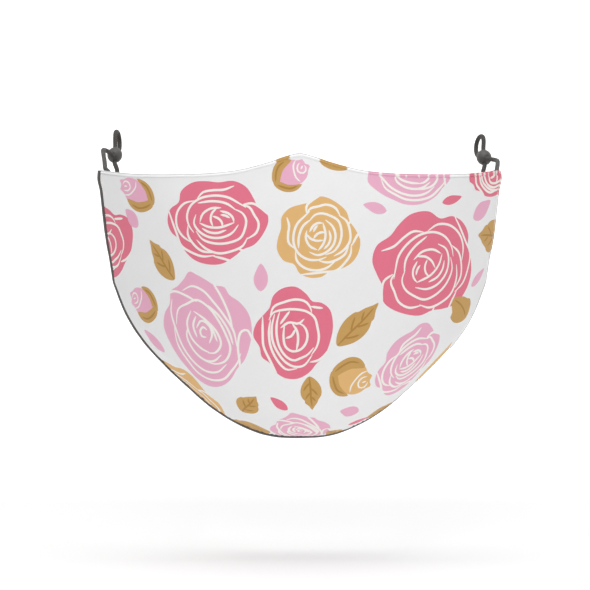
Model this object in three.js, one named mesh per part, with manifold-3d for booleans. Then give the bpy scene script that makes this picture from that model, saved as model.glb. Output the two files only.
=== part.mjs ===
// A cloth face mask as it is worn: a printed outer panel over a dark lining, a light and a
// dark rolled edge round them, and an elastic cord with a bead stopper for each ear.
//
// Millimetres. +X is to the right as seen from the front, +Y goes back towards the ears and
// +Z is up. The origin is the middle of the top edge, where the mask sits on the nose. The
// side edges lie in the plane y = 0, so the cloth bulges forward to negative y.

import * as THREE from 'three';
import { mergeVertices } from 'three/addons/utils/BufferGeometryUtils.js';
import Module from 'manifold-3d';

// Finished outline, seen from the front
const TOP_WIDTH = 178.2; // between the two top corners
const LOWER_WIDTH = 165.8; // between the two lower corners
const CHIN_DROP = 129.6; // from the nose down to the chin edge
const CORNER_DROP = 13.6; // from the nose down to the top corners
const SIDE_HEIGHT = 50.3; // from a lower corner up to the top corner above it

// Shape from the side and from above
const MOUTH_DEPTH = 60; // furthest point in front of the side edges
const CHEEK_DEPTH = 52; // the same for the cheeks, which follow a rounder arc
const WRAP_ANGLE = THREE.MathUtils.degToRad(64); // how far the cloth has turned at its sides

// Cloth
const OUTER_WALL = 1;
const LINING_WALL = 1;
const SEAM_GAP = 0.3; // between any two pieces that meet

// Rolled edges
const LIGHT_ROLL_RADIUS = 0.75;
const DARK_ROLL_RADIUS = 0.85;
const EDGE_CHANGE = 0.72; // where they meet on the lower edge, from the chin to the right corner

// Ear cord and the channel that it runs in
const CORD_DIAMETER = 2;
const CORD_CLEARANCE = 0.3;
const CHANNEL_WALL = 0.8;
const CHANNEL_FLANGE = 1.6;
const CHANNEL_INSET = 5.5; // from the side edge to the middle of the channel
const CHANNEL_TOP_INSET = 3.2; // from the top edge to the channel's mouth
const CHANNEL_LOWER_INSET = 4; // from the lower edge to the channel's mouth
const CORD_END_GAP = 1; // between the cord's two ends, inside the channel

// Bead stopper on each ear cord
const BEAD_DIAMETER = 6.8;
const BEAD_LENGTH = 7.2;
const BEAD_HOLE_CLEARANCE = 0.4;
const BEAD_HOLE_APART = 3.2; // between the middles of its two holes
const TAIL_RADIUS = 4.5; // of the round end of the loop of cord past the bead
const TAIL_CURL = 28; // radius to which that loop, the tail, curls up

// Mesh fineness
const ACROSS_STEPS = 36;
const DOWN_STEPS = 18;
const CHANNEL_STEPS = 10;
const ARCH_STEPS = 3;
const ROLL_SIDES = 6;
const EDGE_STEPS = 40;
const SIDE_STEPS = 12;
const CORD_STEPS = 78;
const CORD_SIDES = 8;
const BEAD_SIDES = 12;
const BEAD_RINGS = 6;

// Top edge, from the middle to a corner: drop is a share of CORNER_DROP.
const TOP_EDGE = [
  { along: 0, drop: 0 },
  { along: 0.06, drop: 0.115 },
  { along: 0.125, drop: 0.3 },
  { along: 0.25, drop: 0.575 },
  { along: 0.375, drop: 0.715 },
  { along: 0.5, drop: 0.8 },
  { along: 0.75, drop: 0.935 },
  { along: 1, drop: 1 },
];

// Lower edge, from the chin to a corner: across is a share of half LOWER_WIDTH, and rise a
// share of the height from the chin to the lower corners.
const LOWER_EDGE = [
  { along: 0, across: 0, rise: 0 },
  { along: 0.125, across: 0.168, rise: 0.016 },
  { along: 0.25, across: 0.326, rise: 0.09 },
  { along: 0.375, across: 0.468, rise: 0.2 },
  { along: 0.5, across: 0.595, rise: 0.335 },
  { along: 0.625, across: 0.717, rise: 0.475 },
  { along: 0.75, across: 0.832, rise: 0.625 },
  { along: 0.875, across: 0.925, rise: 0.79 },
  { along: 1, across: 1, rise: 1 },
];

// Side edge, from the top corner down: out is a share of half TOP_WIDTH, added to the
// straight line between the corners.
const SIDE_EDGE = [
  { down: 0, out: 0.004 },
  { down: 0.08, out: 0.012 },
  { down: 0.17, out: 0.007 },
  { down: 0.3, out: 0.008 },
  { down: 0.6, out: 0.009 },
  { down: 0.8, out: 0.002 },
  { down: 1, out: 0 },
];

// Middle line from the nose to the chin: depth is a share of MOUTH_DEPTH.
const MIDDLE_LINE = [
  { down: 0, depth: 0.833 },
  { down: 0.15, depth: 0.925 },
  { down: 0.3, depth: 0.983 },
  { down: 0.45, depth: 1 },
  { down: 0.6, depth: 0.992 },
  { down: 0.72, depth: 0.958 },
  { down: 0.82, depth: 0.883 },
  { down: 0.9, depth: 0.77 },
  { down: 0.96, depth: 0.61 },
  { down: 1, depth: 0.417 },
];

// Bead stoppers: out is from the middle plane, back from the side edges and up from the
// nose. In degrees, pitch is how steeply the holes rise to the back, yaw how far they turn
// in towards the middle, and roll how far the tail's plane is turned out of the upright.
// tail is the tail's length.
const BEADS = {
  left: { out: 83.4, back: 58, up: -13.6, pitch: 20, yaw: 5, roll: 8, tail: 12.6 },
  right: { out: 83.4, back: 58, up: -14.7, pitch: 20, yaw: 10, roll: 14, tail: 11.2 },
};

// Each ear cord between its channel and its bead: first the strand from the channel's top
// mouth to the bead, then the one from the bead to the channel's lower mouth
const STRANDS = {
  left: {
    upper: [
      { out: 84.2, back: -2.4, up: -15.6 },
      { out: 84.5, back: -0.9, up: -14.3 },
      { out: 85.4, back: 1.7, up: -13.7 },
      { out: 86.2, back: 5, up: -13.3 },
      { out: 86.5, back: 10, up: -12.8 },
      { out: 87, back: 20, up: -11.7 },
      { out: 87.8, back: 33, up: -10.2 },
      { out: 88.1, back: 43.5, up: -9.6 },
      { out: 86.4, back: 49.6, up: -10.9 },
    ],
    lower: [
      { out: 82.2, back: 50.2, up: -19.6 },
      { out: 81.9, back: 48.8, up: -27 },
      { out: 81.4, back: 45.6, up: -36 },
      { out: 80.7, back: 39.4, up: -46 },
      { out: 79.9, back: 29, up: -56 },
      { out: 79, back: 16, up: -64.2 },
      { out: 78, back: 6.4, up: -69.3 },
      { out: 77.5, back: 0.8, up: -69.7 },
      { out: 77.3, back: -1.5, up: -69.1 },
      { out: 77.1, back: -3, up: -67.5 },
    ],
  },
  right: {
    upper: [
      { out: 84.1, back: -2.7, up: -15.9 },
      { out: 84.3, back: -1.1, up: -15 },
      { out: 85.4, back: 1.8, up: -14.9 },
      { out: 86.8, back: 5, up: -15 },
      { out: 87.6, back: 10, up: -14.9 },
      { out: 88.2, back: 20, up: -14.5 },
      { out: 88.8, back: 33, up: -14.5 },
      { out: 88.8, back: 43.5, up: -14.4 },
      { out: 87, back: 49.6, up: -14.6 },
    ],
    lower: [
      { out: 82.8, back: 50, up: -20.4 },
      { out: 82.1, back: 48.6, up: -27.6 },
      { out: 81.8, back: 45.6, up: -36.4 },
      { out: 80.9, back: 39.4, up: -46.2 },
      { out: 80, back: 29, up: -56.2 },
      { out: 79, back: 16, up: -64.4 },
      { out: 78, back: 6.4, up: -69.3 },
      { out: 77.5, back: 0.8, up: -69.7 },
      { out: 77.3, back: -1.5, up: -69.1 },
      { out: 77.1, back: -3, up: -67.5 },
    ],
  },
};

const COLOURS = {
  cloth: 0xebebeb,
  lining: 0x4d4b4a,
  cord: 0x5a5755,
  bead: 0x575452,
};

const wasm = await Module();
wasm.setup();

// Smooth value of one column of a table at a place in its first column
function along(table, place, column, at) {
  const slope = (i) => {
    const low = Math.max(i - 1, 0);
    const high = Math.min(i + 1, table.length - 1);
    return (table[high][column] - table[low][column]) / (table[high][place] - table[low][place]);
  };
  let i = 0;
  while (i < table.length - 2 && at > table[i + 1][place]) i += 1;
  const span = table[i + 1][place] - table[i][place];
  const t = (at - table[i][place]) / span;
  const fall = (1 + 2 * t) * (1 - t) ** 2;
  const startSlope = i === 0 && table[0][column] === 0 && column !== 'across' ? 0 : slope(i);
  return (
    fall * table[i][column] +
    (1 - fall) * table[i + 1][column] +
    t * (1 - t) ** 2 * span * startSlope -
    t * t * (1 - t) * span * slope(i + 1)
  );
}

// Front view of the finished mask: u runs from -1 at the left edge to 1 at the right edge,
// and v from 0 at the top edge to 1 at the lower edge.
function topEdge(u) {
  const x = ((TOP_WIDTH / 2) * Math.sin(WRAP_ANGLE * u)) / Math.sin(WRAP_ANGLE);
  return [x, -CORNER_DROP * along(TOP_EDGE, 'along', 'drop', Math.abs(u))];
}

function lowerEdge(u) {
  const share = Math.abs(u);
  const x = Math.sign(u) * (LOWER_WIDTH / 2) * along(LOWER_EDGE, 'along', 'across', share);
  const height = CHIN_DROP - CORNER_DROP - SIDE_HEIGHT;
  return [x, -CHIN_DROP + height * along(LOWER_EDGE, 'along', 'rise', share)];
}

// A point of the cloth's outer face
function onFace(u, v) {
  const [topX, topZ] = topEdge(u);
  const [lowX, lowZ] = lowerEdge(u);
  const nearSide = Math.abs(u) ** 8;
  const bow = Math.sign(u) * (TOP_WIDTH / 2) * nearSide * along(SIDE_EDGE, 'down', 'out', v);
  const middle = MOUTH_DEPTH * along(MIDDLE_LINE, 'down', 'depth', v);
  const depth = CHEEK_DEPTH + (middle - CHEEK_DEPTH) * (1 - Math.abs(u) ** 3);
  const edge = Math.cos(WRAP_ANGLE);
  const arc = (Math.cos(WRAP_ANGLE * u) - edge) / (1 - edge);
  return new THREE.Vector3(topX + (lowX - topX) * v + bow, -depth * arc, topZ + (lowZ - topZ) * v);
}

// The cloth's directions at a point: to the right, down, and straight in from its face.
// square is 1 where right and down are at a right angle, and less where they slant.
function directions(u, v) {
  const step = 1e-3;
  const right = onFace(Math.min(u + step, 1), v).sub(onFace(Math.max(u - step, -1), v)).normalize();
  const down = onFace(u, Math.min(v + step, 1)).sub(onFace(u, Math.max(v - step, 0))).normalize();
  const cross = new THREE.Vector3().crossVectors(right, down);
  return { right, down, square: cross.length(), inward: cross.normalize() };
}

// A point a given depth inside the outer face
function inside(u, v, depth) {
  return onFace(u, v).addScaledVector(directions(u, v).inward, depth);
}

const CLOTH_DEPTH = OUTER_WALL + SEAM_GAP + LINING_WALL;
const LIGHT_INSET = 2 * LIGHT_ROLL_RADIUS + SEAM_GAP;
const DARK_INSET = 2 * DARK_ROLL_RADIUS + SEAM_GAP;

// The share of the way in from an edge at which a line of the cloth is a distance from it
function shareIn(line, distance) {
  let share = 0.01;
  for (let i = 0; i < 5; i += 1) share *= distance / line(share).distanceTo(line(0));
  return share;
}

// u or v of a place that is given in millimetres in from an edge
function fromSide(side, v, inset) {
  const distance = inset / directions(side, v).square;
  return side * (1 - shareIn((share) => onFace(side * (1 - share), v), distance));
}

function fromTop(u, inset) {
  return shareIn((share) => onFace(u, share), inset / directions(u, 0).square);
}

function fromLower(u, inset) {
  return 1 - shareIn((share) => onFace(u, 1 - share), inset / directions(u, 1).square);
}

// Keeps only the positions of a geometry, and joins its corners
function welded(geometry) {
  geometry.deleteAttribute('normal');
  geometry.deleteAttribute('uv');
  return mergeVertices(geometry, 1e-5);
}

// Moves every vertex of a geometry to the place that a function gives for it
function laid(geometry, place) {
  const position = geometry.attributes.position;
  for (let i = 0; i < position.count; i += 1) {
    const point = place(position.getX(i), position.getY(i), position.getZ(i));
    position.setXYZ(i, point.x, point.y, point.z);
  }
  return welded(geometry);
}

// One layer of cloth: a thin block laid on the face, from one depth to another
function clothLayer(outerDepth, wall) {
  const block = new THREE.BoxGeometry(1, 1, 1, ACROSS_STEPS, DOWN_STEPS, 1);
  return laid(block, (x, y, z) => {
    const left = fromSide(-1, 0.5 - y, DARK_INSET);
    const right = fromSide(1, 0.5 - y, LIGHT_INSET);
    const u = THREE.MathUtils.lerp(left, right, x + 0.5);
    const v = THREE.MathUtils.lerp(fromTop(u, LIGHT_INSET), fromLower(u, DARK_INSET), 0.5 - y);
    return inside(u, v, outerDepth + wall * (0.5 - z));
  });
}

// A bar that follows the cloth at a depth inside its face, with its section, which is drawn
// with x across the bar and y inward, at each place in a list
function bar(section, curveSegments, depth, places) {
  const centres = places.map(({ u, v }) => inside(u, v, depth));
  const last = places.length - 1;
  const settings = { depth: 1, steps: last, curveSegments, bevelEnabled: false };
  return laid(new THREE.ExtrudeGeometry(section, settings), (x, y, z) => {
    const i = Math.round(z * last);
    const before = centres[Math.max(i - 1, 0)];
    const after = centres[Math.min(i + 1, last)];
    const ahead = after.clone().sub(before).normalize();
    const { inward } = directions(places[i].u, places[i].v);
    const across = new THREE.Vector3().crossVectors(inward, ahead).normalize();
    const mitre = 1 / Math.sqrt((1 + bend(before, centres[i], after)) / 2);
    return centres[i]
      .clone()
      .addScaledVector(across, x * mitre)
      .addScaledVector(inward, y);
  });
}

function rolledEdge(places, radius) {
  const section = new THREE.Shape().absarc(0, 0, radius, 0, 2 * Math.PI);
  return bar(section, ROLL_SIDES / 2, CLOTH_DEPTH / 2, places);
}

// Cosine of the turn at the middle one of three points
function bend(before, here, after) {
  const arriving = here.clone().sub(before);
  const leaving = after.clone().sub(here);
  if (arriving.length() === 0 || leaving.length() === 0) return 1;
  return arriving.normalize().dot(leaving.normalize());
}

// Evenly spaced places along one edge of the cloth
function edgePlaces(steps, place) {
  return Array.from({ length: steps + 1 }, (_, i) => place(i / steps));
}

// Places along one edge, at an inset, and the place that turns the corner between two edges
function alongTop(inset, from, to, steps) {
  return edgePlaces(steps, (share) => {
    const u = THREE.MathUtils.lerp(from, to, share);
    return { u, v: fromTop(u, inset) };
  });
}

function alongLower(inset, from, to, steps) {
  return edgePlaces(steps, (share) => {
    const u = THREE.MathUtils.lerp(from, to, share);
    return { u, v: fromLower(u, inset) };
  });
}

function alongSide(side, inset, from, to) {
  return edgePlaces(SIDE_STEPS, (share) => {
    const v = THREE.MathUtils.lerp(from, to, share);
    return { u: fromSide(side, v, inset), v };
  });
}

// Insets of a roll of a radius: of its middle line, of the places where it starts to turn a
// corner, and of the corner itself
function rollInsets(radius) {
  const turn = radius + SEAM_GAP;
  return { inset: radius, turn: radius + turn, corner: radius + turn * (1 - Math.SQRT1_2) };
}

// The light roll: along the top, down the right side and round onto the lower edge
function lightRoll() {
  const { inset, turn, corner } = rollInsets(LIGHT_ROLL_RADIUS);
  const topCorner = fromSide(1, 0, corner);
  const lowerCorner = fromSide(1, 1, corner);
  const places = [
    ...alongTop(inset, fromSide(-1, 0, DARK_INSET), fromSide(1, 0, turn), EDGE_STEPS),
    { u: topCorner, v: fromTop(topCorner, corner) },
    ...alongSide(1, inset, fromTop(topCorner, turn), fromLower(lowerCorner, turn)),
    { u: lowerCorner, v: fromLower(lowerCorner, corner) },
    ...alongLower(inset, fromSide(1, 1, turn), EDGE_CHANGE, SIDE_STEPS),
  ];
  return rolledEdge(places, LIGHT_ROLL_RADIUS);
}

// The dark roll: down the left side, and along the lower edge to meet the light one
function darkRoll() {
  const { inset, turn, corner } = rollInsets(DARK_ROLL_RADIUS);
  const lowerCorner = fromSide(-1, 1, corner);
  const meeting = EDGE_CHANGE - SEAM_GAP / (LOWER_WIDTH / 2);
  const places = [
    ...alongSide(-1, inset, 0, fromLower(lowerCorner, turn)),
    { u: lowerCorner, v: fromLower(lowerCorner, corner) },
    ...alongLower(inset, fromSide(-1, 1, turn), meeting, EDGE_STEPS),
  ];
  return rolledEdge(places, DARK_ROLL_RADIUS);
}

const CORD_RADIUS = CORD_DIAMETER / 2;
const CHANNEL_BORE = CORD_RADIUS + CORD_CLEARANCE;
const CHANNEL_BASE = CLOTH_DEPTH + SEAM_GAP;

// Places along a channel's middle line, from its lower mouth at 0 to its top mouth at 1
function channelPlace(side, share) {
  const low = fromLower(fromSide(side, 1, CHANNEL_INSET), CHANNEL_LOWER_INSET);
  const top = fromTop(fromSide(side, 0, CHANNEL_INSET), CHANNEL_TOP_INSET);
  const v = THREE.MathUtils.lerp(low, top, share);
  return { u: fromSide(side, v, CHANNEL_INSET), v };
}

// The strip that holds the cord against the lining: an arch with a flange on each side
function channelStrip(side) {
  const outer = CHANNEL_BORE + CHANNEL_WALL;
  const reach = outer + CHANNEL_FLANGE;
  const section = new THREE.Shape();
  section.moveTo(-reach, 0);
  section.lineTo(-CHANNEL_BORE, 0);
  section.lineTo(-CHANNEL_BORE, CHANNEL_BORE);
  section.absarc(0, CHANNEL_BORE, CHANNEL_BORE, Math.PI, 0, true);
  section.lineTo(CHANNEL_BORE, 0);
  section.lineTo(reach, 0);
  section.lineTo(reach, CHANNEL_WALL);
  section.lineTo(outer, CHANNEL_WALL);
  section.lineTo(outer, CHANNEL_BORE);
  section.absarc(0, CHANNEL_BORE, outer, 0, Math.PI, false);
  section.lineTo(-outer, CHANNEL_WALL);
  section.lineTo(-reach, CHANNEL_WALL);
  const places = edgePlaces(CHANNEL_STEPS, (share) => channelPlace(side, share));
  return bar(section, ARCH_STEPS, CHANNEL_BASE, places);
}

function tube(points, radius) {
  const section = new THREE.Shape().absarc(0, 0, radius, 0, 2 * Math.PI);
  const extrudePath = new THREE.CatmullRomCurve3(points);
  const curveSegments = CORD_SIDES / 2;
  const settings = { extrudePath, steps: CORD_STEPS, curveSegments, bevelEnabled: false };
  return welded(new THREE.ExtrudeGeometry(section, settings));
}

// Where a bead sits, and the directions of its holes: back along them, level across both
// of them, and apart from one to the other
function beadFrame(name, side) {
  const { out, back: behind, up, pitch, yaw, roll, tail } = BEADS[name];
  const axis = (x, y, z) => new THREE.Vector3(x, y, z);
  const turned = (vector) =>
    vector
      .applyAxisAngle(axis(1, 0, 0), THREE.MathUtils.degToRad(pitch))
      .applyAxisAngle(axis(0, 0, 1), side * THREE.MathUtils.degToRad(yaw));
  const back = turned(axis(0, 1, 0));
  const upright = turned(axis(0, 0, 1));
  const apart = upright.clone().applyAxisAngle(back, side * THREE.MathUtils.degToRad(roll));
  return { middle: axis(side * out, behind, up), back, upright, apart, tail };
}

function onBead(frame, back, apart) {
  return frame.middle
    .clone()
    .addScaledVector(frame.back, back)
    .addScaledVector(frame.apart, apart);
}

// A point of the tail, which curls up: along it from the bead, and to one side
function onTail(frame, length, apart) {
  const curl = length / TAIL_CURL;
  const level = new THREE.Vector3().crossVectors(frame.back, frame.upright);
  return onBead(frame, BEAD_LENGTH / 2, 0)
    .addScaledVector(frame.back, TAIL_CURL * Math.sin(curl))
    .addScaledVector(frame.upright, TAIL_CURL * (1 - Math.cos(curl)))
    .addScaledVector(frame.apart.clone().applyAxisAngle(level, curl), apart);
}

// The loop of cord past a bead: a round end between its two legs
function tailPoints(frame) {
  const middle = frame.tail - TAIL_RADIUS;
  const turns = 6;
  return Array.from({ length: turns + 1 }, (_, i) => {
    const angle = THREE.MathUtils.degToRad(-20 + (220 * i) / turns);
    return onTail(frame, middle + TAIL_RADIUS * Math.sin(angle), TAIL_RADIUS * Math.cos(angle));
  });
}

// The whole cord: up out of the channel, to the bead, round its tail, and back below
function cordPoints(name, side) {
  const frame = beadFrame(name, side);
  const { upper, lower } = STRANDS[name];
  const half = BEAD_HOLE_APART / 2;
  const reach = BEAD_LENGTH / 2 + CORD_RADIUS / 2;
  const endShare = CORD_END_GAP / 2 / SIDE_HEIGHT;
  const inChannel = (share) => {
    const { u, v } = channelPlace(side, share);
    return inside(u, v, CHANNEL_BASE + CHANNEL_BORE);
  };
  const freely = ({ out, back, up }) => new THREE.Vector3(side * out, back, up);
  return [
    ...[0.5 + endShare, 0.7, 0.9, 1].map(inChannel),
    ...upper.map(freely),
    ...[-reach, 0, reach].map((back) => onBead(frame, back, half)),
    ...tailPoints(frame),
    ...[reach, 0, -reach].map((back) => onBead(frame, back, -half)),
    ...lower.map(freely),
    ...[0, 0.1, 0.3, 0.5 - endShare].map(inChannel),
  ];
}

function solid(geometry) {
  const { position } = geometry.attributes;
  const triVerts = new Uint32Array(geometry.index.array);
  const vertProperties = new Float32Array(position.array);
  return new wasm.Manifold(new wasm.Mesh({ numProp: 3, vertProperties, triVerts }));
}

function fromSolid(manifold) {
  const mesh = manifold.getMesh();
  const geometry = new THREE.BufferGeometry();
  geometry.setAttribute('position', new THREE.BufferAttribute(mesh.vertProperties, 3));
  geometry.setIndex(new THREE.BufferAttribute(mesh.triVerts, 1));
  return geometry;
}

// A barrel-shaped bead along its own Y axis, with two holes through it
function beadShape() {
  const profile = [];
  for (let i = 0; i <= BEAD_RINGS; i += 1) {
    const angle = (Math.PI * i) / BEAD_RINGS - Math.PI / 2;
    profile.push(
      new THREE.Vector2(
        (BEAD_DIAMETER / 2) * Math.cos(angle) ** 0.7,
        (BEAD_LENGTH / 2) * Math.sin(angle),
      ),
    );
  }
  profile[0].x = 0;
  profile[BEAD_RINGS].x = 0;
  let bead = solid(welded(new THREE.LatheGeometry(profile, BEAD_SIDES)));
  const radius = CORD_RADIUS + BEAD_HOLE_CLEARANCE;
  for (const end of [-1, 1]) {
    const hole = new THREE.CylinderGeometry(radius, radius, 2 * BEAD_LENGTH, BEAD_SIDES);
    hole.translate((end * BEAD_HOLE_APART) / 2, 0, 0);
    bead = bead.subtract(solid(welded(hole)));
  }
  return fromSolid(bead);
}

function named(name, geometry, color, roughness) {
  const material = new THREE.MeshStandardMaterial({ color, roughness, metalness: 0 });
  const mesh = new THREE.Mesh(geometry, material);
  mesh.name = name;
  return mesh;
}

function earLoop(name, side) {
  const group = new THREE.Group();
  const cord = tube(cordPoints(name, side), CORD_RADIUS);
  group.add(named(`cord_channel_${name}`, channelStrip(side), COLOURS.lining, 0.9));
  group.add(named(`ear_cord_${name}`, cord, COLOURS.cord, 0.85));
  const bead = named(`bead_stopper_${name}`, beadShape(), COLOURS.bead, 0.5);
  const { middle, back, apart } = beadFrame(name, side);
  bead.position.copy(middle);
  const across = new THREE.Vector3().crossVectors(apart, back);
  bead.quaternion.setFromRotationMatrix(new THREE.Matrix4().makeBasis(apart, back, across));
  group.add(bead);
  return group;
}

const mask = new THREE.Group();
mask.add(named('outer_panel', clothLayer(0, OUTER_WALL), COLOURS.cloth, 0.9));
const lining = clothLayer(OUTER_WALL + SEAM_GAP, LINING_WALL);
mask.add(named('lining', lining, COLOURS.lining, 0.9));
mask.add(named('light_rolled_edge', lightRoll(), COLOURS.cloth, 0.9));
mask.add(named('dark_rolled_edge', darkRoll(), COLOURS.lining, 0.9));
mask.add(earLoop('left', -1));
mask.add(earLoop('right', 1));

export default mask;
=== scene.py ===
"""A cloth face mask in its worn shape, with a rose print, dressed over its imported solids."""

import logging
import math
from dataclasses import dataclass, field
from enum import Enum
from typing import Callable, Sequence

import bmesh
import bpy
import numpy as np
from mathutils import Matrix, Vector
from mathutils.geometry import delaunay_2d_cdt


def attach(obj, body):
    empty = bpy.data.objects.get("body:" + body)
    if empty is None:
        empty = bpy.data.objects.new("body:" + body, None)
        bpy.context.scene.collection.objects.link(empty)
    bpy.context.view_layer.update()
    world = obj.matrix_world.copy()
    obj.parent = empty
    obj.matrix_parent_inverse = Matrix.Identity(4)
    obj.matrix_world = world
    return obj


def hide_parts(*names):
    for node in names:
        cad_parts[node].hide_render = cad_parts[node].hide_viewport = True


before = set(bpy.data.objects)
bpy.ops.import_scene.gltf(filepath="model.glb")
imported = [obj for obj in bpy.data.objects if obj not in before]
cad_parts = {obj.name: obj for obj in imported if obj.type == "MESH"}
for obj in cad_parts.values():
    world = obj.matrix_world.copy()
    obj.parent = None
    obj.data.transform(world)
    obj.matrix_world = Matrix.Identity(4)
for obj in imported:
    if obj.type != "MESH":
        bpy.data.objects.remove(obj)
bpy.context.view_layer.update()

MM = 0.001
STITCH_LIFT = 0.06
LOG = logging.getLogger("cloth_face_mask")
Array = np.ndarray


def unit(ways: Array) -> Array:
    """Scales directions to a length of 1."""
    return ways / np.linalg.norm(ways, axis=-1, keepdims=True)


def distances(line: Array) -> Array:
    """Gives how far along a line each of its points is."""
    return np.concatenate([[0], np.cumsum(np.linalg.norm(np.diff(line, axis=0), axis=1))])


# The mask's form


class Table:
    """A smooth curve through the rows of a table, straight beyond its ends."""

    def __init__(self, rows: Sequence[tuple[float, float]], level_start: bool = False) -> None:
        """Keeps the rows and works out the slope at each.

        Args:
            rows: Pairs of a place and the value there, in order of place.
            level_start: Whether the curve leaves its first row level.
        """
        self.places = np.array([row[0] for row in rows])
        self.values = np.array([row[1] for row in rows])
        low = np.maximum(np.arange(len(rows)) - 1, 0)
        high = np.minimum(np.arange(len(rows)) + 1, len(rows) - 1)
        rise = self.values[high] - self.values[low]
        self.slopes = rise / (self.places[high] - self.places[low])
        if level_start:
            self.slopes[0] = 0.0

    def __call__(self, at: Array) -> Array:
        """Gives the curve's values.

        Args:
            at: Places along the table.

        Returns:
            The value at each place.
        """
        inside = np.clip(at, self.places[0], self.places[-1])
        i = np.searchsorted(self.places[1:-1], inside, side="left")
        span = self.places[i + 1] - self.places[i]
        t = (inside - self.places[i]) / span
        fall = (1 + 2 * t) * (1 - t) ** 2
        value = fall * self.values[i] + (1 - fall) * self.values[i + 1]
        value += t * (1 - t) ** 2 * span * self.slopes[i]
        value -= t * t * (1 - t) * span * self.slopes[i + 1]
        beyond = at - inside
        return value + beyond * np.where(beyond < 0, self.slopes[0], self.slopes[-1])


@dataclass(frozen=True)
class Directions:
    """The way into the cloth at some places, and how square its own lines cross there."""

    inward: Array
    square: Array


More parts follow.
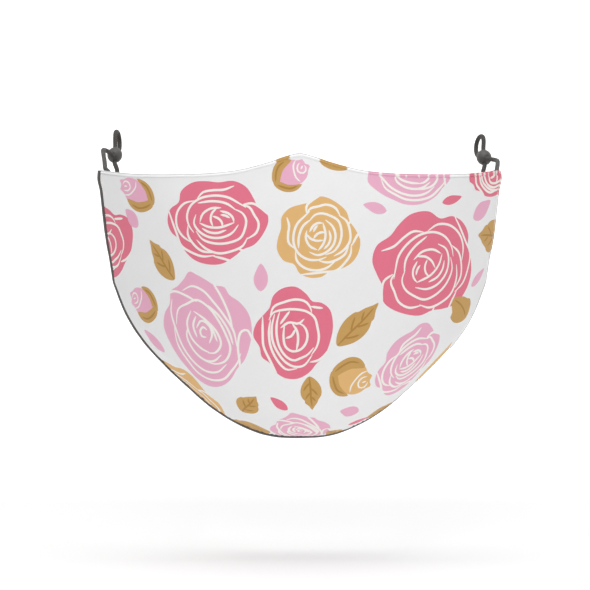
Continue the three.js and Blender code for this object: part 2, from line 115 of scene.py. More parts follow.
@dataclass(frozen=True)
class MaskForm:
    """The outer face of the cloth, in millimetres, from the same sizes as the solids.

    A place on it is u, from -1 at the left edge to 1 at the right edge, and v, from 0 at the
    top edge to 1 at the lower edge.
    """

    top_width: float = 178.2
    lower_width: float = 165.8
    chin_drop: float = 129.6
    corner_drop: float = 13.6
    side_height: float = 50.3
    mouth_depth: float = 60.0
    cheek_depth: float = 52.0
    wrap: float = math.radians(64.0)
    top_drop: Table = Table(
        [(0, 0), (0.06, 0.115), (0.125, 0.3), (0.25, 0.575), (0.375, 0.715), (0.5, 0.8)]
        + [(0.75, 0.935), (1, 1)],
        level_start=True,
    )
    lower_across: Table = Table(
        [(0, 0), (0.125, 0.168), (0.25, 0.326), (0.375, 0.468), (0.5, 0.595), (0.625, 0.717), (0.75, 0.832)]
        + [(0.875, 0.925), (1, 1)]
    )
    lower_rise: Table = Table(
        [(0, 0), (0.125, 0.016), (0.25, 0.09), (0.375, 0.2), (0.5, 0.335), (0.625, 0.475), (0.75, 0.625)]
        + [(0.875, 0.79), (1, 1)],
        level_start=True,
    )
    side_out: Table = Table(
        [(0, 0.004), (0.08, 0.012), (0.17, 0.007), (0.3, 0.008), (0.6, 0.009), (0.8, 0.002), (1, 0)]
    )
    middle_depth: Table = Table(
        [(0, 0.833), (0.15, 0.925), (0.3, 0.983), (0.45, 1), (0.6, 0.992), (0.72, 0.958), (0.82, 0.883)]
        + [(0.9, 0.77), (0.96, 0.61), (1, 0.417)]
    )

    def face(self, u: Array, v: Array) -> Array:
        """Finds points of the outer face.

        Args:
            u: Places across.
            v: Places down.

        Returns:
            A row of x, y and z for each place.
        """
        u, v = np.broadcast_arrays(np.asarray(u, float), np.asarray(v, float))
        reach = np.abs(u)
        top_x = self.top_width / 2 * np.sin(self.wrap * u) / math.sin(self.wrap)
        top_z = -self.corner_drop * self.top_drop(reach)
        low_x = np.sign(u) * self.lower_width / 2 * self.lower_across(reach)
        height = self.chin_drop - self.corner_drop - self.side_height
        low_z = -self.chin_drop + height * self.lower_rise(reach)
        bow = np.sign(u) * self.top_width / 2 * np.minimum(reach, 1) ** 8 * self.side_out(v)
        middle = self.mouth_depth * self.middle_depth(v)
        depth = self.cheek_depth + (middle - self.cheek_depth) * (1 - reach**3)
        edge = math.cos(self.wrap)
        arc = (np.cos(self.wrap * u) - edge) / (1 - edge)
        x = top_x + (low_x - top_x) * v + bow
        return np.stack([x, -depth * arc, top_z + (low_z - top_z) * v], axis=-1)

    def directions(self, u: Array, v: Array) -> Directions:
        """Finds the cloth's directions at some places."""
        step = 1e-3
        u, v = np.broadcast_arrays(np.asarray(u, float), np.asarray(v, float))
        right = unit(self.face(np.minimum(u + step, 1), v) - self.face(np.maximum(u - step, -1), v))
        down = unit(self.face(u, np.minimum(v + step, 1)) - self.face(u, np.maximum(v - step, 0)))
        cross = np.cross(right, down)
        square = np.linalg.norm(cross, axis=-1)
        return Directions(cross / square[..., None], square)

    def inside(self, u: Array, v: Array, depth: Array | float) -> Array:
        """Finds points a given depth inside the outer face."""
        clipped = self.directions(np.clip(u, -1, 1), np.clip(v, 0, 1))
        return self.face(u, v) + clipped.inward * np.asarray(depth)[..., None]

    def _share_in(self, line: Callable[[Array], Array], distance: Array) -> Array:
        """Finds how far in from an edge a line of the cloth is a distance from it."""
        share = np.full(np.shape(distance), 0.01)
        start = line(np.zeros_like(share))
        for _ in range(5):
            share = share * distance / np.linalg.norm(line(share) - start, axis=-1)
        return share

    def from_side(self, side: int, v: Array, inset: Array | float) -> Array:
        """Gives u at an inset from a side edge."""
        v = np.clip(np.asarray(v, float), 0, 1)
        distance = inset / self.directions(np.full_like(v, side), v).square
        return side * (1 - self._share_in(lambda share: self.face(side * (1 - share), v), distance))

    def from_top(self, u: Array, inset: Array | float) -> Array:
        """Gives v at an inset from the top edge."""
        u = np.clip(np.asarray(u, float), -1, 1)
        distance = inset / self.directions(u, np.zeros_like(u)).square
        return self._share_in(lambda share: self.face(u, share), distance)

    def from_lower(self, u: Array, inset: Array | float) -> Array:
        """Gives v at an inset from the lower edge."""
        u = np.clip(np.asarray(u, float), -1, 1)
        distance = inset / self.directions(u, np.ones_like(u)).square
        return 1 - self._share_in(lambda share: self.face(u, 1 - share), distance)

    def locate(self, x: float, z: float) -> tuple[float, float]:
        """Finds u and v of the point seen at x and z from the front."""
        place = np.array([x / (self.top_width / 2), 0.5])
        for _ in range(12):
            steps = np.array([[0, 0], [1e-4, 0], [0, 1e-4]])
            points = self.face(place[0] + steps[:, 0], place[1] + steps[:, 1])[:, [0, 2]]
            slopes = (points[1:] - points[0]).T / 1e-4
            place = place + np.linalg.solve(slopes, np.array([x, z]) - points[0])
        return float(place[0]), float(place[1])


FORM = MaskForm()


@dataclass(frozen=True)
class Layer:
    """A layer of cloth that follows the form, by s across and t down, from 0 to 1 each."""

    left: float
    right: float
    top: float
    lower: float
    lower_right: float | None = None
    change_from: float = -0.1
    change_over: float = 0.7

    def _lower(self, u: Array) -> Array:
        """Gives the inset from the lower edge, which may change towards the right."""
        if self.lower_right is None:
            return np.full_like(u, self.lower)
        share = np.clip((u - self.change_from) / self.change_over, 0, 1)
        return self.lower + (self.lower_right - self.lower) * share * share * (3 - 2 * share)

    def to_uv(self, s: Array, t: Array) -> tuple[Array, Array]:
        """Turns places of the layer into places of the form."""
        s, t = np.asarray(s, float), np.asarray(t, float)
        left = FORM.from_side(-1, t, self.left)
        right = FORM.from_side(1, t, self.right)
        u = left + (right - left) * s
        top = FORM.from_top(u, self.top)
        low = FORM.from_lower(u, self._lower(u))
        return u, top + (low - top) * t

    def from_uv(self, u: Array, v: Array) -> tuple[Array, Array]:
        """Turns places of the form into places of the layer."""
        top = FORM.from_top(u, self.top)
        low = FORM.from_lower(u, self._lower(u))
        t = (v - top) / (low - top)
        left = FORM.from_side(-1, t, self.left)
        right = FORM.from_side(1, t, self.right)
        return (u - left) / (right - left), t


# Shader graphs


class Socket:
    """A node's output, so that a sum of outputs is written as an expression."""

    def __init__(self, graph: "Graph", socket: bpy.types.NodeSocket) -> None:
        """Keeps the output and the graph that it is in."""
        self.graph = graph
        self.socket = socket

    def _math(self, operation: str, first: "Socket | float", second: "Socket | float") -> "Socket":
        """Adds a Math node."""
        return self.graph.node("ShaderNodeMath", {"operation": operation}, {0: first, 1: second})

    def __add__(self, other: "Socket | float") -> "Socket":
        """Adds."""
        return self._math("ADD", self, other)

    def __radd__(self, other: float) -> "Socket":
        """Adds to a number."""
        return self._math("ADD", other, self)

    def __sub__(self, other: "Socket | float") -> "Socket":
        """Takes away."""
        return self._math("SUBTRACT", self, other)

    def __rsub__(self, other: float) -> "Socket":
        """Takes away from a number."""
        return self._math("SUBTRACT", other, self)

    def __mul__(self, other: "Socket | float") -> "Socket":
        """Multiplies."""
        return self._math("MULTIPLY", self, other)

    def sine(self) -> "Socket":
        """Takes the sine."""
        return self._math("SINE", self, 0.0)

    def absolute(self) -> "Socket":
        """Drops the sign."""
        return self._math("ABSOLUTE", self, 0.0)

    def larger(self, other: "Socket") -> "Socket":
        """Takes the larger of two."""
        return self._math("MAXIMUM", self, other)


class Graph:
    """A material's node tree, with a Principled shader."""

    def __init__(self, name: str) -> None:
        """Makes the material.

        Args:
            name: The material's name.
        """
        self.material = bpy.data.materials.new(name)
        self.material.use_nodes = True
        self.tree = self.material.node_tree
        self.shader = next(n for n in self.tree.nodes if n.type == "BSDF_PRINCIPLED")

    def node(
        self,
        kind: str,
        settings: dict[str, object] | None = None,
        inputs: dict[int | str, object] | None = None,
        output: int | str = 0,
    ) -> Socket:
        """Adds a node.

        Args:
            kind: The node's type.
            settings: Its own settings, which are set first.
            inputs: Values or links for its sockets, by name or number.
            output: Which output to give back.

        Returns:
            The chosen output.
        """
        made = self.tree.nodes.new(kind)
        for key, value in (settings or {}).items():
            setattr(made, key, value)
        for key, value in (inputs or {}).items():
            self.feed(made.inputs[key], value)
        return Socket(self, made.outputs[output])

    def feed(self, target: bpy.types.NodeSocket, value: object) -> None:
        """Sets a socket to a value, or links it."""
        if isinstance(value, Socket):
            self.tree.links.new(value.socket, target)
        else:
            target.default_value = value

    def surface(self, **inputs: object) -> None:
        """Sets the shader's sockets, named with underscores for spaces."""
        for key, value in inputs.items():
            self.feed(self.shader.inputs[key.replace("_", " ")], value)

    def mix(self, factor: Socket | float, first: object, second: object) -> Socket:
        """Mixes two colours."""
        settings = {"data_type": "RGBA"}
        return self.node("ShaderNodeMix", settings, {0: factor, 6: first, 7: second}, 2)

    def shades(self, tone: Socket, colour: tuple[int, int, int], low: float, high: float) -> Socket:
        """Mixes two shades of a colour, each a share of it."""
        ends = (rgba(*(min(255, c * share) for c in colour)) for share in (low, high))
        return self.mix(tone, *ends)

    def noise(self, place: Socket, scale: float, detail: float = 2.0) -> Socket:
        """Adds a noise, from 0 to 1."""
        return self.node("ShaderNodeTexNoise", None, {"Vector": place, "Scale": scale, "Detail": detail})

    def place(self) -> Socket:
        """Gives the place on the object."""
        return self.node("ShaderNodeTexCoord", None, None, "Object")

    def on_cloth(self) -> tuple[Socket, Socket]:
        """Gives the place on the piece's own map, across and along."""
        uv = self.node("ShaderNodeUVMap", {"uv_map": "cloth"})
        split = self.node("ShaderNodeSeparateXYZ", None, {0: uv})
        return split, Socket(self, split.socket.node.outputs[1])

    def bump(self, height: Socket, distance: float, strength: float) -> None:
        """Feeds the shader's normal from a height."""
        inputs = {"Height": height, "Distance": distance, "Strength": strength}
        self.surface(Normal=self.node("ShaderNodeBump", None, inputs))


def rgba(red: float, green: float, blue: float) -> tuple[float, float, float, float]:
    """Turns a colour as a screen shows it, from 0 to 255, into a shader's colour."""
    shares = (value / 255 for value in (red, green, blue))
    linear = (s / 12.92 if s <= 0.04045 else ((s + 0.055) / 1.055) ** 2.4 for s in shares)
    return (*linear, 1.0)


class Ink(Enum):
    """The colours of the print and the plain cloth, with a painted highlight and a painted shade for the
    light edge, as a screen shows them.
    """

    CLOTH = (233, 233, 233)
    # Painted highlight: the light roll is the same cloth as the panel, drawn whiter where nothing is printed.
    EDGE = (246, 246, 246)
    # Partly a real thread and partly painted shade: its darker grey draws the shaded outline of the light
    # roll.
    THREAD = (216, 216, 215)
    DEEP_PINK = (224, 116, 138)
    LIGHT_PINK = (229, 172, 196)
    TAN = (222, 178, 117)
    LEAF = (196, 155, 92)
    VEIN = (172, 130, 66)
    CREAM = (238, 235, 229)


@dataclass(frozen=True)
class PlainWeave:
    """Woven cloth, whose colour comes from the print or is one colour."""

    name: str
    colour: tuple[int, int, int] | None
    thread: float = 0.45
    relief: float = 0.00006
    roughness: float = 0.86
    sheen: float = 0.12

    def material(self) -> bpy.types.Material:
        """Builds the material."""
        graph = Graph(self.name)
        across, along = graph.on_cloth()
        turns = math.pi / (self.thread * MM)
        warp = (across * turns).sine().absolute()
        weft = (along * turns).sine().absolute()
        over = ((across * turns * 0.5).sine() * (along * turns * 0.5).sine()) * 0.5 + 0.5
        threads = warp * over + weft * (1 - over)
        place = graph.place()
        slubs = graph.noise(place, scale=900.0, detail=3.0)
        clouds = graph.noise(place, scale=60.0, detail=3.0)
        height = threads + slubs * 0.6
        graph.bump(height, distance=self.relief, strength=0.55)
        if self.colour is None:
            base = graph.node("ShaderNodeAttribute", {"attribute_name": "print"})
        else:
            base = rgba(*self.colour)[:3]
        light = 1.06 - (threads * 0.035 + slubs * 0.04 + clouds * 0.05)
        shaded = graph.node("ShaderNodeVectorMath", {"operation": "SCALE"}, {0: base, 3: light})
        graph.surface(Base_Color=shaded, Roughness=self.roughness + slubs * 0.1)
        graph.surface(Sheen_Weight=self.sheen, Sheen_Roughness=0.5, Specular_IOR_Level=0.25)
        return graph.material


@dataclass(frozen=True)
class Jersey:
    """Dark knitted cloth, with its columns of loops."""

    name: str
    colour: tuple[int, int, int]
    loop: float = 0.8

    def material(self) -> bpy.types.Material:
        """Builds the material."""
        graph = Graph(self.name)
        across, along = graph.on_cloth()
        turns = 2 * math.pi / (self.loop * MM)
        columns = (across * turns * 0.5).sine().absolute()
        loops = (along * turns + columns * 2.2).sine() * 0.5 + 0.5
        place = graph.place()
        fuzz = graph.noise(place, scale=1400.0, detail=3.0)
        clouds = graph.noise(place, scale=45.0, detail=2.0)
        height = columns * 0.7 + loops * 0.5 + fuzz * 0.4
        graph.bump(height, distance=0.00012, strength=0.6)
        # Partly painted light: the raised loop crests are drawn lighter than the hollows, a painted highlight
        # on the knit's relief; fuzz and clouds add random tone.
        tone = loops * 0.3 + fuzz * 0.35 + clouds * 0.3
        shaded = graph.shades(tone, self.colour, low=1.0, high=1.35)
        graph.surface(Base_Color=shaded, Roughness=0.82 + fuzz * 0.14)
        graph.surface(Sheen_Weight=0.25, Sheen_Roughness=0.5, Specular_IOR_Level=0.3)
        return graph.material


@dataclass(frozen=True)
class BraidedElastic:
    """A round elastic cord with a braided cover."""

    name: str
    colour: tuple[int, int, int]
    strands: int = 8
    pitch: float = 2.4

    def material(self) -> bpy.types.Material:
        """Builds the material."""
        graph = Graph(self.name)
        around, along = graph.on_cloth()
        ring = around * (2 * math.pi * self.strands / 2)
        rise = along * (2 * math.pi / (self.pitch * MM) * 2)
        braid = (ring + rise).sine().larger((ring - rise).sine())
        fuzz = graph.noise(graph.place(), scale=1600.0, detail=2.0)
        graph.bump(braid * 0.7 + fuzz * 0.4, distance=0.00012, strength=0.6)
        # Partly painted light: the raised strands are drawn lighter and the grooves darker, a painted
        # highlight and painted shade on the braid's relief; fuzz adds random tone.
        tone = braid * 0.4 + fuzz * 0.4 + 0.1
        shaded = graph.shades(tone, self.colour, low=0.82, high=1.12)
        graph.surface(Base_Color=shaded, Roughness=0.74 + fuzz * 0.16)
        graph.surface(Sheen_Weight=0.05, Sheen_Roughness=0.4, Specular_IOR_Level=0.2)
        return graph.material


@dataclass(frozen=True)
class SiliconeRubber:
    """Moulded silicone rubber, with a satin skin and a little dust."""

    name: str
    colour: tuple[int, int, int]

    def material(self) -> bpy.types.Material:
        """Builds the material."""
        graph = Graph(self.name)
        place = graph.place()
        skin = graph.noise(place, scale=2600.0, detail=2.0)
        dust = graph.noise(place, scale=500.0, detail=4.0)
        graph.bump(skin, distance=0.00002, strength=0.4)
        shaded = graph.shades(dust * 0.5, self.colour, low=1.0, high=1.2)
        graph.surface(Base_Color=shaded, Roughness=0.42 + dust * 0.2, Specular_IOR_Level=0.4)
        return graph.material


PRINTED = PlainWeave("printed_cloth", None)
# Painted highlight: the light roll takes its whiter painted colour from its print attribute.
PRINTED_EDGE_PAINTED_HIGHLIGHT = PlainWeave("printed_edge", None, thread=0.4)
# Painted shade: the thread's darker grey stands for the shaded outline of the light roll.
PRINTED_THREAD_PAINTED_SHADE = PlainWeave("printed_thread", None, thread=0.15, relief=0.00003)
DARK_LINING = Jersey("dark_lining", (78, 75, 74))
DARK_THREAD = PlainWeave("dark_thread", (122, 118, 116), thread=0.15, relief=0.00003)
EAR_ELASTIC = BraidedElastic("ear_elastic", (78, 75, 73))
BEAD_RUBBER = SiliconeRubber("bead_rubber", (80, 77, 75))


# Meshes


def linked(name: str, data: bpy.types.ID) -> bpy.types.Object:
    """Adds an object to the scene."""
    made = bpy.data.objects.new(name, data)
    bpy.context.scene.collection.objects.link(made)
    return made


def finished(mesh: bpy.types.Mesh, name: str, material: bpy.types.Material) -> bpy.types.Object:
    """Links a mesh as an object with a material, and lets it ride on the mask.

    Args:
        mesh: The finished mesh, in metres.
        name: The piece's name.
        material: Its material.

    Returns:
        The object.
    """
    mesh.materials.clear()
    mesh.materials.append(material)
    piece = linked(name, mesh)
    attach(piece, "root")
    LOG.info("%s: %d faces", name, len(mesh.polygons))
    return piece


def evaluated(piece: bpy.types.Object) -> bpy.types.Mesh:
    """Makes a mesh of an object as its modifiers leave it."""
    bpy.context.view_layer.update()
    return bpy.data.meshes.new_from_object(piece.evaluated_get(bpy.context.evaluated_depsgraph_get()))


def make_smooth(mesh: bpy.types.Mesh) -> None:
    """Shades a mesh smooth."""
    mesh.polygons.foreach_set("use_smooth", np.ones(len(mesh.polygons), bool))


def corners_of(mesh: bpy.types.Mesh) -> Array:
    """Lists the vertex at each corner of a mesh's faces."""
    corners = np.empty(len(mesh.loops), np.int32)
    mesh.loops.foreach_get("vertex_index", corners)
    return corners


def lay_map(mesh: bpy.types.Mesh, places: Array) -> None:
    """Gives each corner of a mesh's faces its place on the cloth's own map, in metres."""
    layer = mesh.uv_layers.new(name="cloth")
    layer.uv.foreach_set("vector", np.asarray(places, np.float32).ravel())


def lay_print(mesh: bpy.types.Mesh, domain: str, shades: Array) -> None:
    """Gives a mesh the colours of its print, by corner or by point."""
    layer = mesh.color_attributes.new("print", "FLOAT_COLOR", domain)
    layer.data.foreach_set("color", shades.astype(np.float32).ravel())


def smooth_mesh(
    name: str, points: Array, faces: Sequence[Sequence[int]], cloth: Array | None = None
) -> bpy.types.Mesh:
    """Makes a smooth mesh.

    Args:
        name: Its name.
        points: Its vertices, in millimetres.
        faces: Its faces, by vertex.
        cloth: For each vertex, its place on the cloth's own map, in metres.

    Returns:
        The mesh.
    """
    mesh = bpy.data.meshes.new(name)
    mesh.from_pydata((points * MM).tolist(), [], faces)
    make_smooth(mesh)
    if cloth is not None:
        lay_map(mesh, cloth[corners_of(mesh)])
    mesh.validate()
    return mesh


def ring_faces(rings: int, sides: int) -> list[tuple[int, ...]]:
    """Joins rings of vertices into a closed tube.

    Args:
        rings: How many rings there are.
        sides: How many vertices each has.

    Returns:
        The faces between the rings, one after another, and then the two ends.
    """
    faces = []
    for i in range(rings - 1):
        for j in range(sides):
            a, b = i * sides + j, i * sides + (j + 1) % sides
            faces.append((a, b, b + sides, a + sides))
    last = (rings - 1) * sides
    return [*faces, tuple(range(sides))[::-1], tuple(range(last, last + sides))]


def tube_mesh(name: str, line: Array, radii: Array, sides: int) -> bpy.types.Mesh:
    """Makes a closed tube along a line.

    Args:
        name: Its name.
        line: Points along its middle, in millimetres.
        radii: Its radius at each point.
        sides: How many sides its section has.

    Returns:
        The mesh, with flat ends and a map of turns and metres.
    """
    ahead = unit(np.gradient(line, axis=0))
    normal = np.cross(ahead[0], [0.0, 0.3, 1.0])
    normals = []
    for direction in ahead:
        normal = unit(normal - direction * np.dot(normal, direction))
        normals.append(normal)
    up = np.array(normals)
    wide = np.cross(ahead, up)
    turn = np.arange(sides) * 2 * math.pi / sides
    ring = np.cos(turn)[None, :, None] * wide[:, None] + np.sin(turn)[None, :, None] * up[:, None]
    points = (line[:, None] + ring * radii[:, None, None]).reshape(-1, 3)
    mesh = smooth_mesh(name, points, ring_faces(len(line), sides))
    length = distances(line) * MM
    place = []
    for low, high in zip(length, length[1:]):
        for j in range(sides):
            near, far = j / sides, (j + 1) / sides
            place += [(near, low), (far, low), (far, high), (near, high)]
    place += [(j / sides, length[0]) for j in range(sides)][::-1]
    place += [(j / sides, length[-1]) for j in range(sides)]
    lay_map(mesh, np.array(place))
    return mesh


def smooth_line(points: Array, step: float, closed: bool = False) -> Array:
    """Draws an even, smooth line through points, as a centripetal Catmull-Rom curve.

    Args:
        points: The points to pass through.
        step: The distance between the line's points.
        closed: Whether it ends where it starts.

    Returns:
        The line's points.
    """
    points = np.asarray(points, float)
    if closed:
        whole = np.vstack([points[-1], points, points[:2]])
    else:
        whole = np.vstack([2 * points[0] - points[1], points, 2 * points[-1] - points[-2]])
    dense = []
    for a, b, c, d in zip(whole, whole[1:], whole[2:], whole[3:]):
        k = [max(float(np.linalg.norm(q - p)), 1e-9) ** 0.5 for p, q in ((a, b), (b, c), (c, d))]
        start = ((b - a) / k[0] - (c - a) / (k[0] + k[1]) + (c - b) / k[1]) * k[1]
        end = ((c - b) / k[1] - (d - b) / (k[1] + k[2]) + (d - c) / k[2]) * k[1]
        t = np.linspace(0, 1, 24, endpoint=False)[:, None]
        cubic = (2 * t**3 - 3 * t**2 + 1) * b + (t**3 - 2 * t**2 + t) * start
        dense.append(cubic + (3 * t**2 - 2 * t**3) * c + (t**3 - t**2) * end)
    dense.append(points[:1] if closed else points[-1:])
    path = np.vstack(dense)
    lengths = distances(path)
    count = max(int(round(lengths[-1] / step)), 3)
    at = np.linspace(0, lengths[-1], count + 1)
    even = np.stack([np.interp(at, lengths, column) for column in path.T], axis=1)
    return even[:-1] if closed else even


# The print


Points = tuple[tuple[float, float], ...]


@dataclass(frozen=True)
class Stroke:
    """A line of the drawing, tapered at both ends."""

    points: Points
    width: float = 1.0


@dataclass(frozen=True)
class Drawing:
    """One flower, bud, leaf or petal, drawn in a square from -1 to 1 with its top up."""

    shapes: tuple[tuple[str, Points], ...]
    strokes: tuple[tuple[str, Stroke], ...] = ()

    def reach(self) -> Array:
        """Gives how far its shapes reach across and up."""
        return np.abs(np.vstack([shape for _, shape in self.shapes])).max(0)


def hundredths(rows: Sequence[tuple[int, int]]) -> Points:
    """Turns rows of whole hundredths into points."""
    return tuple((across / 100, up / 100) for across, up in rows)


def area(ink: str, *rows: tuple[int, int]) -> tuple[str, Points]:
    """Makes an area of ink of rows of hundredths across and up."""
    return ink, hundredths(rows)


def flower(*rows: tuple[int, int]) -> tuple[str, Points]:
    """Makes a flower's outline of rows of degrees and hundredths of reach."""
    turns = ((math.radians(turn), reach / 100) for turn, reach in rows)
    return "main", tuple((reach * math.cos(turn), reach * math.sin(turn)) for turn, reach in turns)


def lines(*rows: Sequence[tuple[int, int]], width: float = 1.0) -> tuple[tuple[str, Stroke], ...]:
    """Makes line strokes of rows of hundredths."""
    return tuple(("line", Stroke(hundredths(row), width)) for row in rows)


def veins(*rows: Sequence[tuple[int, int]]) -> tuple[tuple[str, Stroke], ...]:
    """Makes vein strokes of rows of hundredths."""
    vein_width = 0.8
    return tuple(("vein", Stroke(hundredths(row), vein_width)) for row in rows)


CUPPED_ROSE = Drawing(
    shapes=(
        flower(
            (0, 97), (14, 98), (29, 87), (42, 90), (58, 98), (74, 99), (90, 90), (104, 94), (120, 100),
            (138, 97), (152, 85), (166, 95), (182, 97), (198, 93), (212, 84), (228, 90), (246, 97),
            (262, 99), (280, 97), (298, 87), (312, 82), (330, 90),
        ),
    ),
    strokes=lines(
        [(-30, -5), (-12, -13), (10, -13), (37, 0)],
        [(-29, -3), (-25, 15), (-10, 29), (10, 32)],
        [(2, 31), (-7, 18), (-8, 2), (-3, -11)],
        [(8, 25), (25, 20), (34, 10), (36, 0)],
        [(-5, 12), (7, 7), (14, -2), (15, -11)],
        [(10, 16), (19, 15), (28, 10)],
        [(-24, -17), (-10, -25), (6, -26), (23, -18)],
        [(-38, 14), (-41, -6), (-30, -24), (-10, -36), (14, -36), (34, -24), (45, -4)],
        [(-36, -24), (-22, -42), (2, -50), (28, -47), (50, -34), (57, -14), (58, 8), (50, 23), (32, 32)],
        [(-36, 40), (-8, 46), (18, 43), (37, 30)],
        [(-40, -28), (-51, -12), (-56, 10), (-50, 33), (-32, 51), (-6, 59), (20, 57), (42, 45), (56, 36)],
        [(46, 42), (62, 37), (72, 20), (81, 2), (78, -20), (62, -36)],
        [(-44, 45), (-64, 37), (-77, 16), (-77, -12), (-66, -34), (-46, -50)],
        [(-53, -12), (-52, -34), (-40, -54), (-24, -68), (-2, -72)],
        [(-34, -44), (-16, -62), (10, -72), (34, -66), (55, -52), (63, -32)],
        [(-96, 22), (-86, -6), (-76, -32), (-66, -58), (-46, -72), (-20, -81), (4, -77)],
        [(0, -79), (22, -84), (42, -90), (62, -92)],
        [(44, -58), (62, -63), (78, -52), (100, -32)],
        [(-38, 50), (-28, 65), (-10, 71), (12, 74), (30, 84)],
        [(50, 43), (68, 46), (84, 36), (100, 20)],
    ),
)

OPEN_ROSE = Drawing(
    shapes=(
        flower(
            (0, 92), (16, 97), (31, 100), (45, 93), (57, 82), (71, 90), (88, 100), (106, 100), (122, 94),
            (137, 80), (150, 82), (168, 93), (184, 98), (200, 88), (214, 93), (228, 87), (242, 95),
            (258, 100), (276, 99), (294, 92), (310, 85), (326, 88),
        ),
    ),
    strokes=lines(
        [(-22, 22), (-25, -6), (-20, -28), (-4, -38), (16, -34), (30, -18), (32, 2), (22, 18), (4, 24)],
        [(-32, 12), (-12, 24), (12, 22), (25, 32)],
        [(-4, 22), (8, 5), (10, -16), (6, -36)],
        [(4, 10), (-6, -5), (-20, -10)],
        [
            (-34, 47), (-41, 22), (-41, -6), (-34, -30), (-18, -50), (0, -58), (16, -53), (32, -46),
            (48, -30),
        ],
        [(-10, 48), (-20, 36), (-33, 20)],
        [(-46, 42), (-53, 14), (-51, -16), (-38, -42), (-20, -62), (2, -72), (24, -69), (44, -46)],
        [
            (-60, 28), (-50, 44), (-24, 51), (6, 52), (32, 47), (50, 34), (57, 12), (60, -8), (55, -28),
            (42, -46),
        ],
        [(-57, 38), (-48, 57), (-24, 67), (4, 73), (27, 69), (39, 57), (43, 45)],
        [(-56, 30), (-60, 4), (-56, -28), (-40, -58), (-18, -78), (8, -76)],
        [(-75, 36), (-75, 2), (-73, -28), (-58, -58), (-40, -90)],
        [(38, -62), (58, -58), (74, -47), (86, -32)],
        [(41, 58), (54, 56), (70, 54)],
    ),
)

SPIRAL_ROSE = Drawing(
    shapes=(
        flower(
            (0, 96), (18, 97), (34, 91), (48, 84), (58, 88), (70, 82), (84, 86), (96, 93), (105, 100),
            (114, 92), (126, 88), (139, 92), (152, 83), (166, 90), (182, 93), (200, 87), (218, 85),
            (236, 87), (252, 94), (268, 98), (284, 97), (300, 93), (316, 88), (332, 92),
        ),
    ),
    strokes=lines(
        [(10, 2), (2, 7), (-5, 0), (-2, -9), (8, -10)],
        [(-13, 4), (-2, 17), (14, 11), (20, -4), (13, -20)],
        [(-13, 24), (-20, 8), (-13, -12)],
        [(6, 16), (21, 4), (30, -16)],
        [(-24, 32), (-34, 10), (-26, -14), (-6, -30), (14, -37)],
        [(-18, 32), (8, 19), (30, 0), (37, -20), (24, -35), (8, -37)],
        [(-32, 6), (-37, -12), (-24, -36), (-2, -50), (18, -50), (36, -38)],
        [
            (-60, 6), (-53, 32), (-32, 43), (-10, 51), (14, 41), (34, 20), (48, -4), (55, -26), (44, -47),
            (22, -55), (-2, -52),
        ],
        [(14, 44), (36, 27), (54, 2), (61, -20)],
        [(-67, 48), (-71, 26), (-61, -6), (-50, -32), (-30, -56), (-4, -70), (22, -69), (44, -54)],
        [(-88, 50), (-62, 61), (-36, 57), (-10, 48)],
        [(-42, 64), (-20, 73), (4, 67), (26, 49), (46, 28), (63, 3), (68, -24)],
        [
            (-66, 0), (-62, -30), (-44, -56), (-24, -76), (4, -85), (32, -81), (52, -65), (66, -50),
            (74, -34),
        ],
        [(20, 86), (40, 60), (55, 31), (62, 6)],
        [(67, -82), (70, -50), (70, -20), (77, 2), (88, 5), (96, -10), (98, -28)],
        [(30, -96), (50, -85), (72, -76)],
    ),
)

ROSE_BUD = Drawing(
    shapes=(
        area(
            "main",
            (-42, -30), (-53, 5), (-44, 38), (-26, 60), (-20, 82), (0, 80), (16, 95), (28, 76), (47, 56),
            (57, 20), (50, -15), (34, -45), (0, -62), (-30, -50),
        ),
        area(
            "leaf",
            (-42, 38), (-64, 10), (-66, -30), (-46, -66), (-10, -90), (14, -76), (-10, -46), (-28, -18),
            (-34, 10),
        ),
        area(
            "leaf",
            (62, 16), (70, -24), (52, -66), (18, -90), (-8, -90), (4, -62), (30, -42), (48, -14),
        ),
    ),
    strokes=lines(
        [(-14, 62), (-6, 42), (12, 34), (28, 48), (22, 70), (4, 74)],
        [(-32, 54), (-20, 32), (2, 18), (28, 10), (50, 16)],
        [(2, 66), (10, 50)],
        width=0.7,
    )
    + veins(
        [(-52, 6), (-50, -28), (-30, -58), (-6, -78)],
        [(58, -6), (52, -38), (32, -62), (10, -80)],
    ),
)

LEAF = Drawing(
    shapes=(
        area(
            "leaf",
            (0, 100), (14, 74), (32, 50), (30, 43), (43, 20), (48, -10), (42, -44), (26, -74), (2, -98),
            (-24, -80), (-44, -46), (-50, -12), (-43, 22), (-36, 28), (-26, 54), (-10, 80),
        ),
    ),
    strokes=veins(
        [(2, -96), (0, -40), (2, 20), (0, 76)],
        [(1, -34), (-16, -14), (-30, 10)],
        [(1, -10), (15, 8), (27, 30)],
        [(2, -62), (20, -42), (33, -20)],
        [(1, 16), (-10, 30), (-18, 46)],
    ),
)

CURLED_LEAF = Drawing(
    shapes=(
        area(
            "leaf",
            (-81, 92), (8, 96), (57, 73), (73, 74), (90, 30), (70, -54), (42, -82), (-13, -95),
            (-60, -78), (-89, -35), (-77, -17), (-90, 57),
        ),
    ),
    strokes=veins(
        [(-65, 81), (-6, 37), (33, -13), (51, -56)],
    ),
)

PETAL = Drawing(
    shapes=(
        area(
            "main",
            (0, 100), (30, 55), (44, 5), (36, -55), (0, -96), (-32, -60), (-42, -5), (-26, 50),
        ),
    ),
)


@dataclass(frozen=True)
class Motif:
    """A drawing placed on the cloth.

    Its middle is x to the right and z up from the nose, as seen from the front. Its width and
    height are measured on the cloth, spin turns the drawing within them, and turn turns it all.
    """

    drawing: Drawing
    ink: Ink
    x: float
    z: float
    width: float
    height: float
    spin: float = 0.0
    turn: float = 0.0
    mirror: bool = False


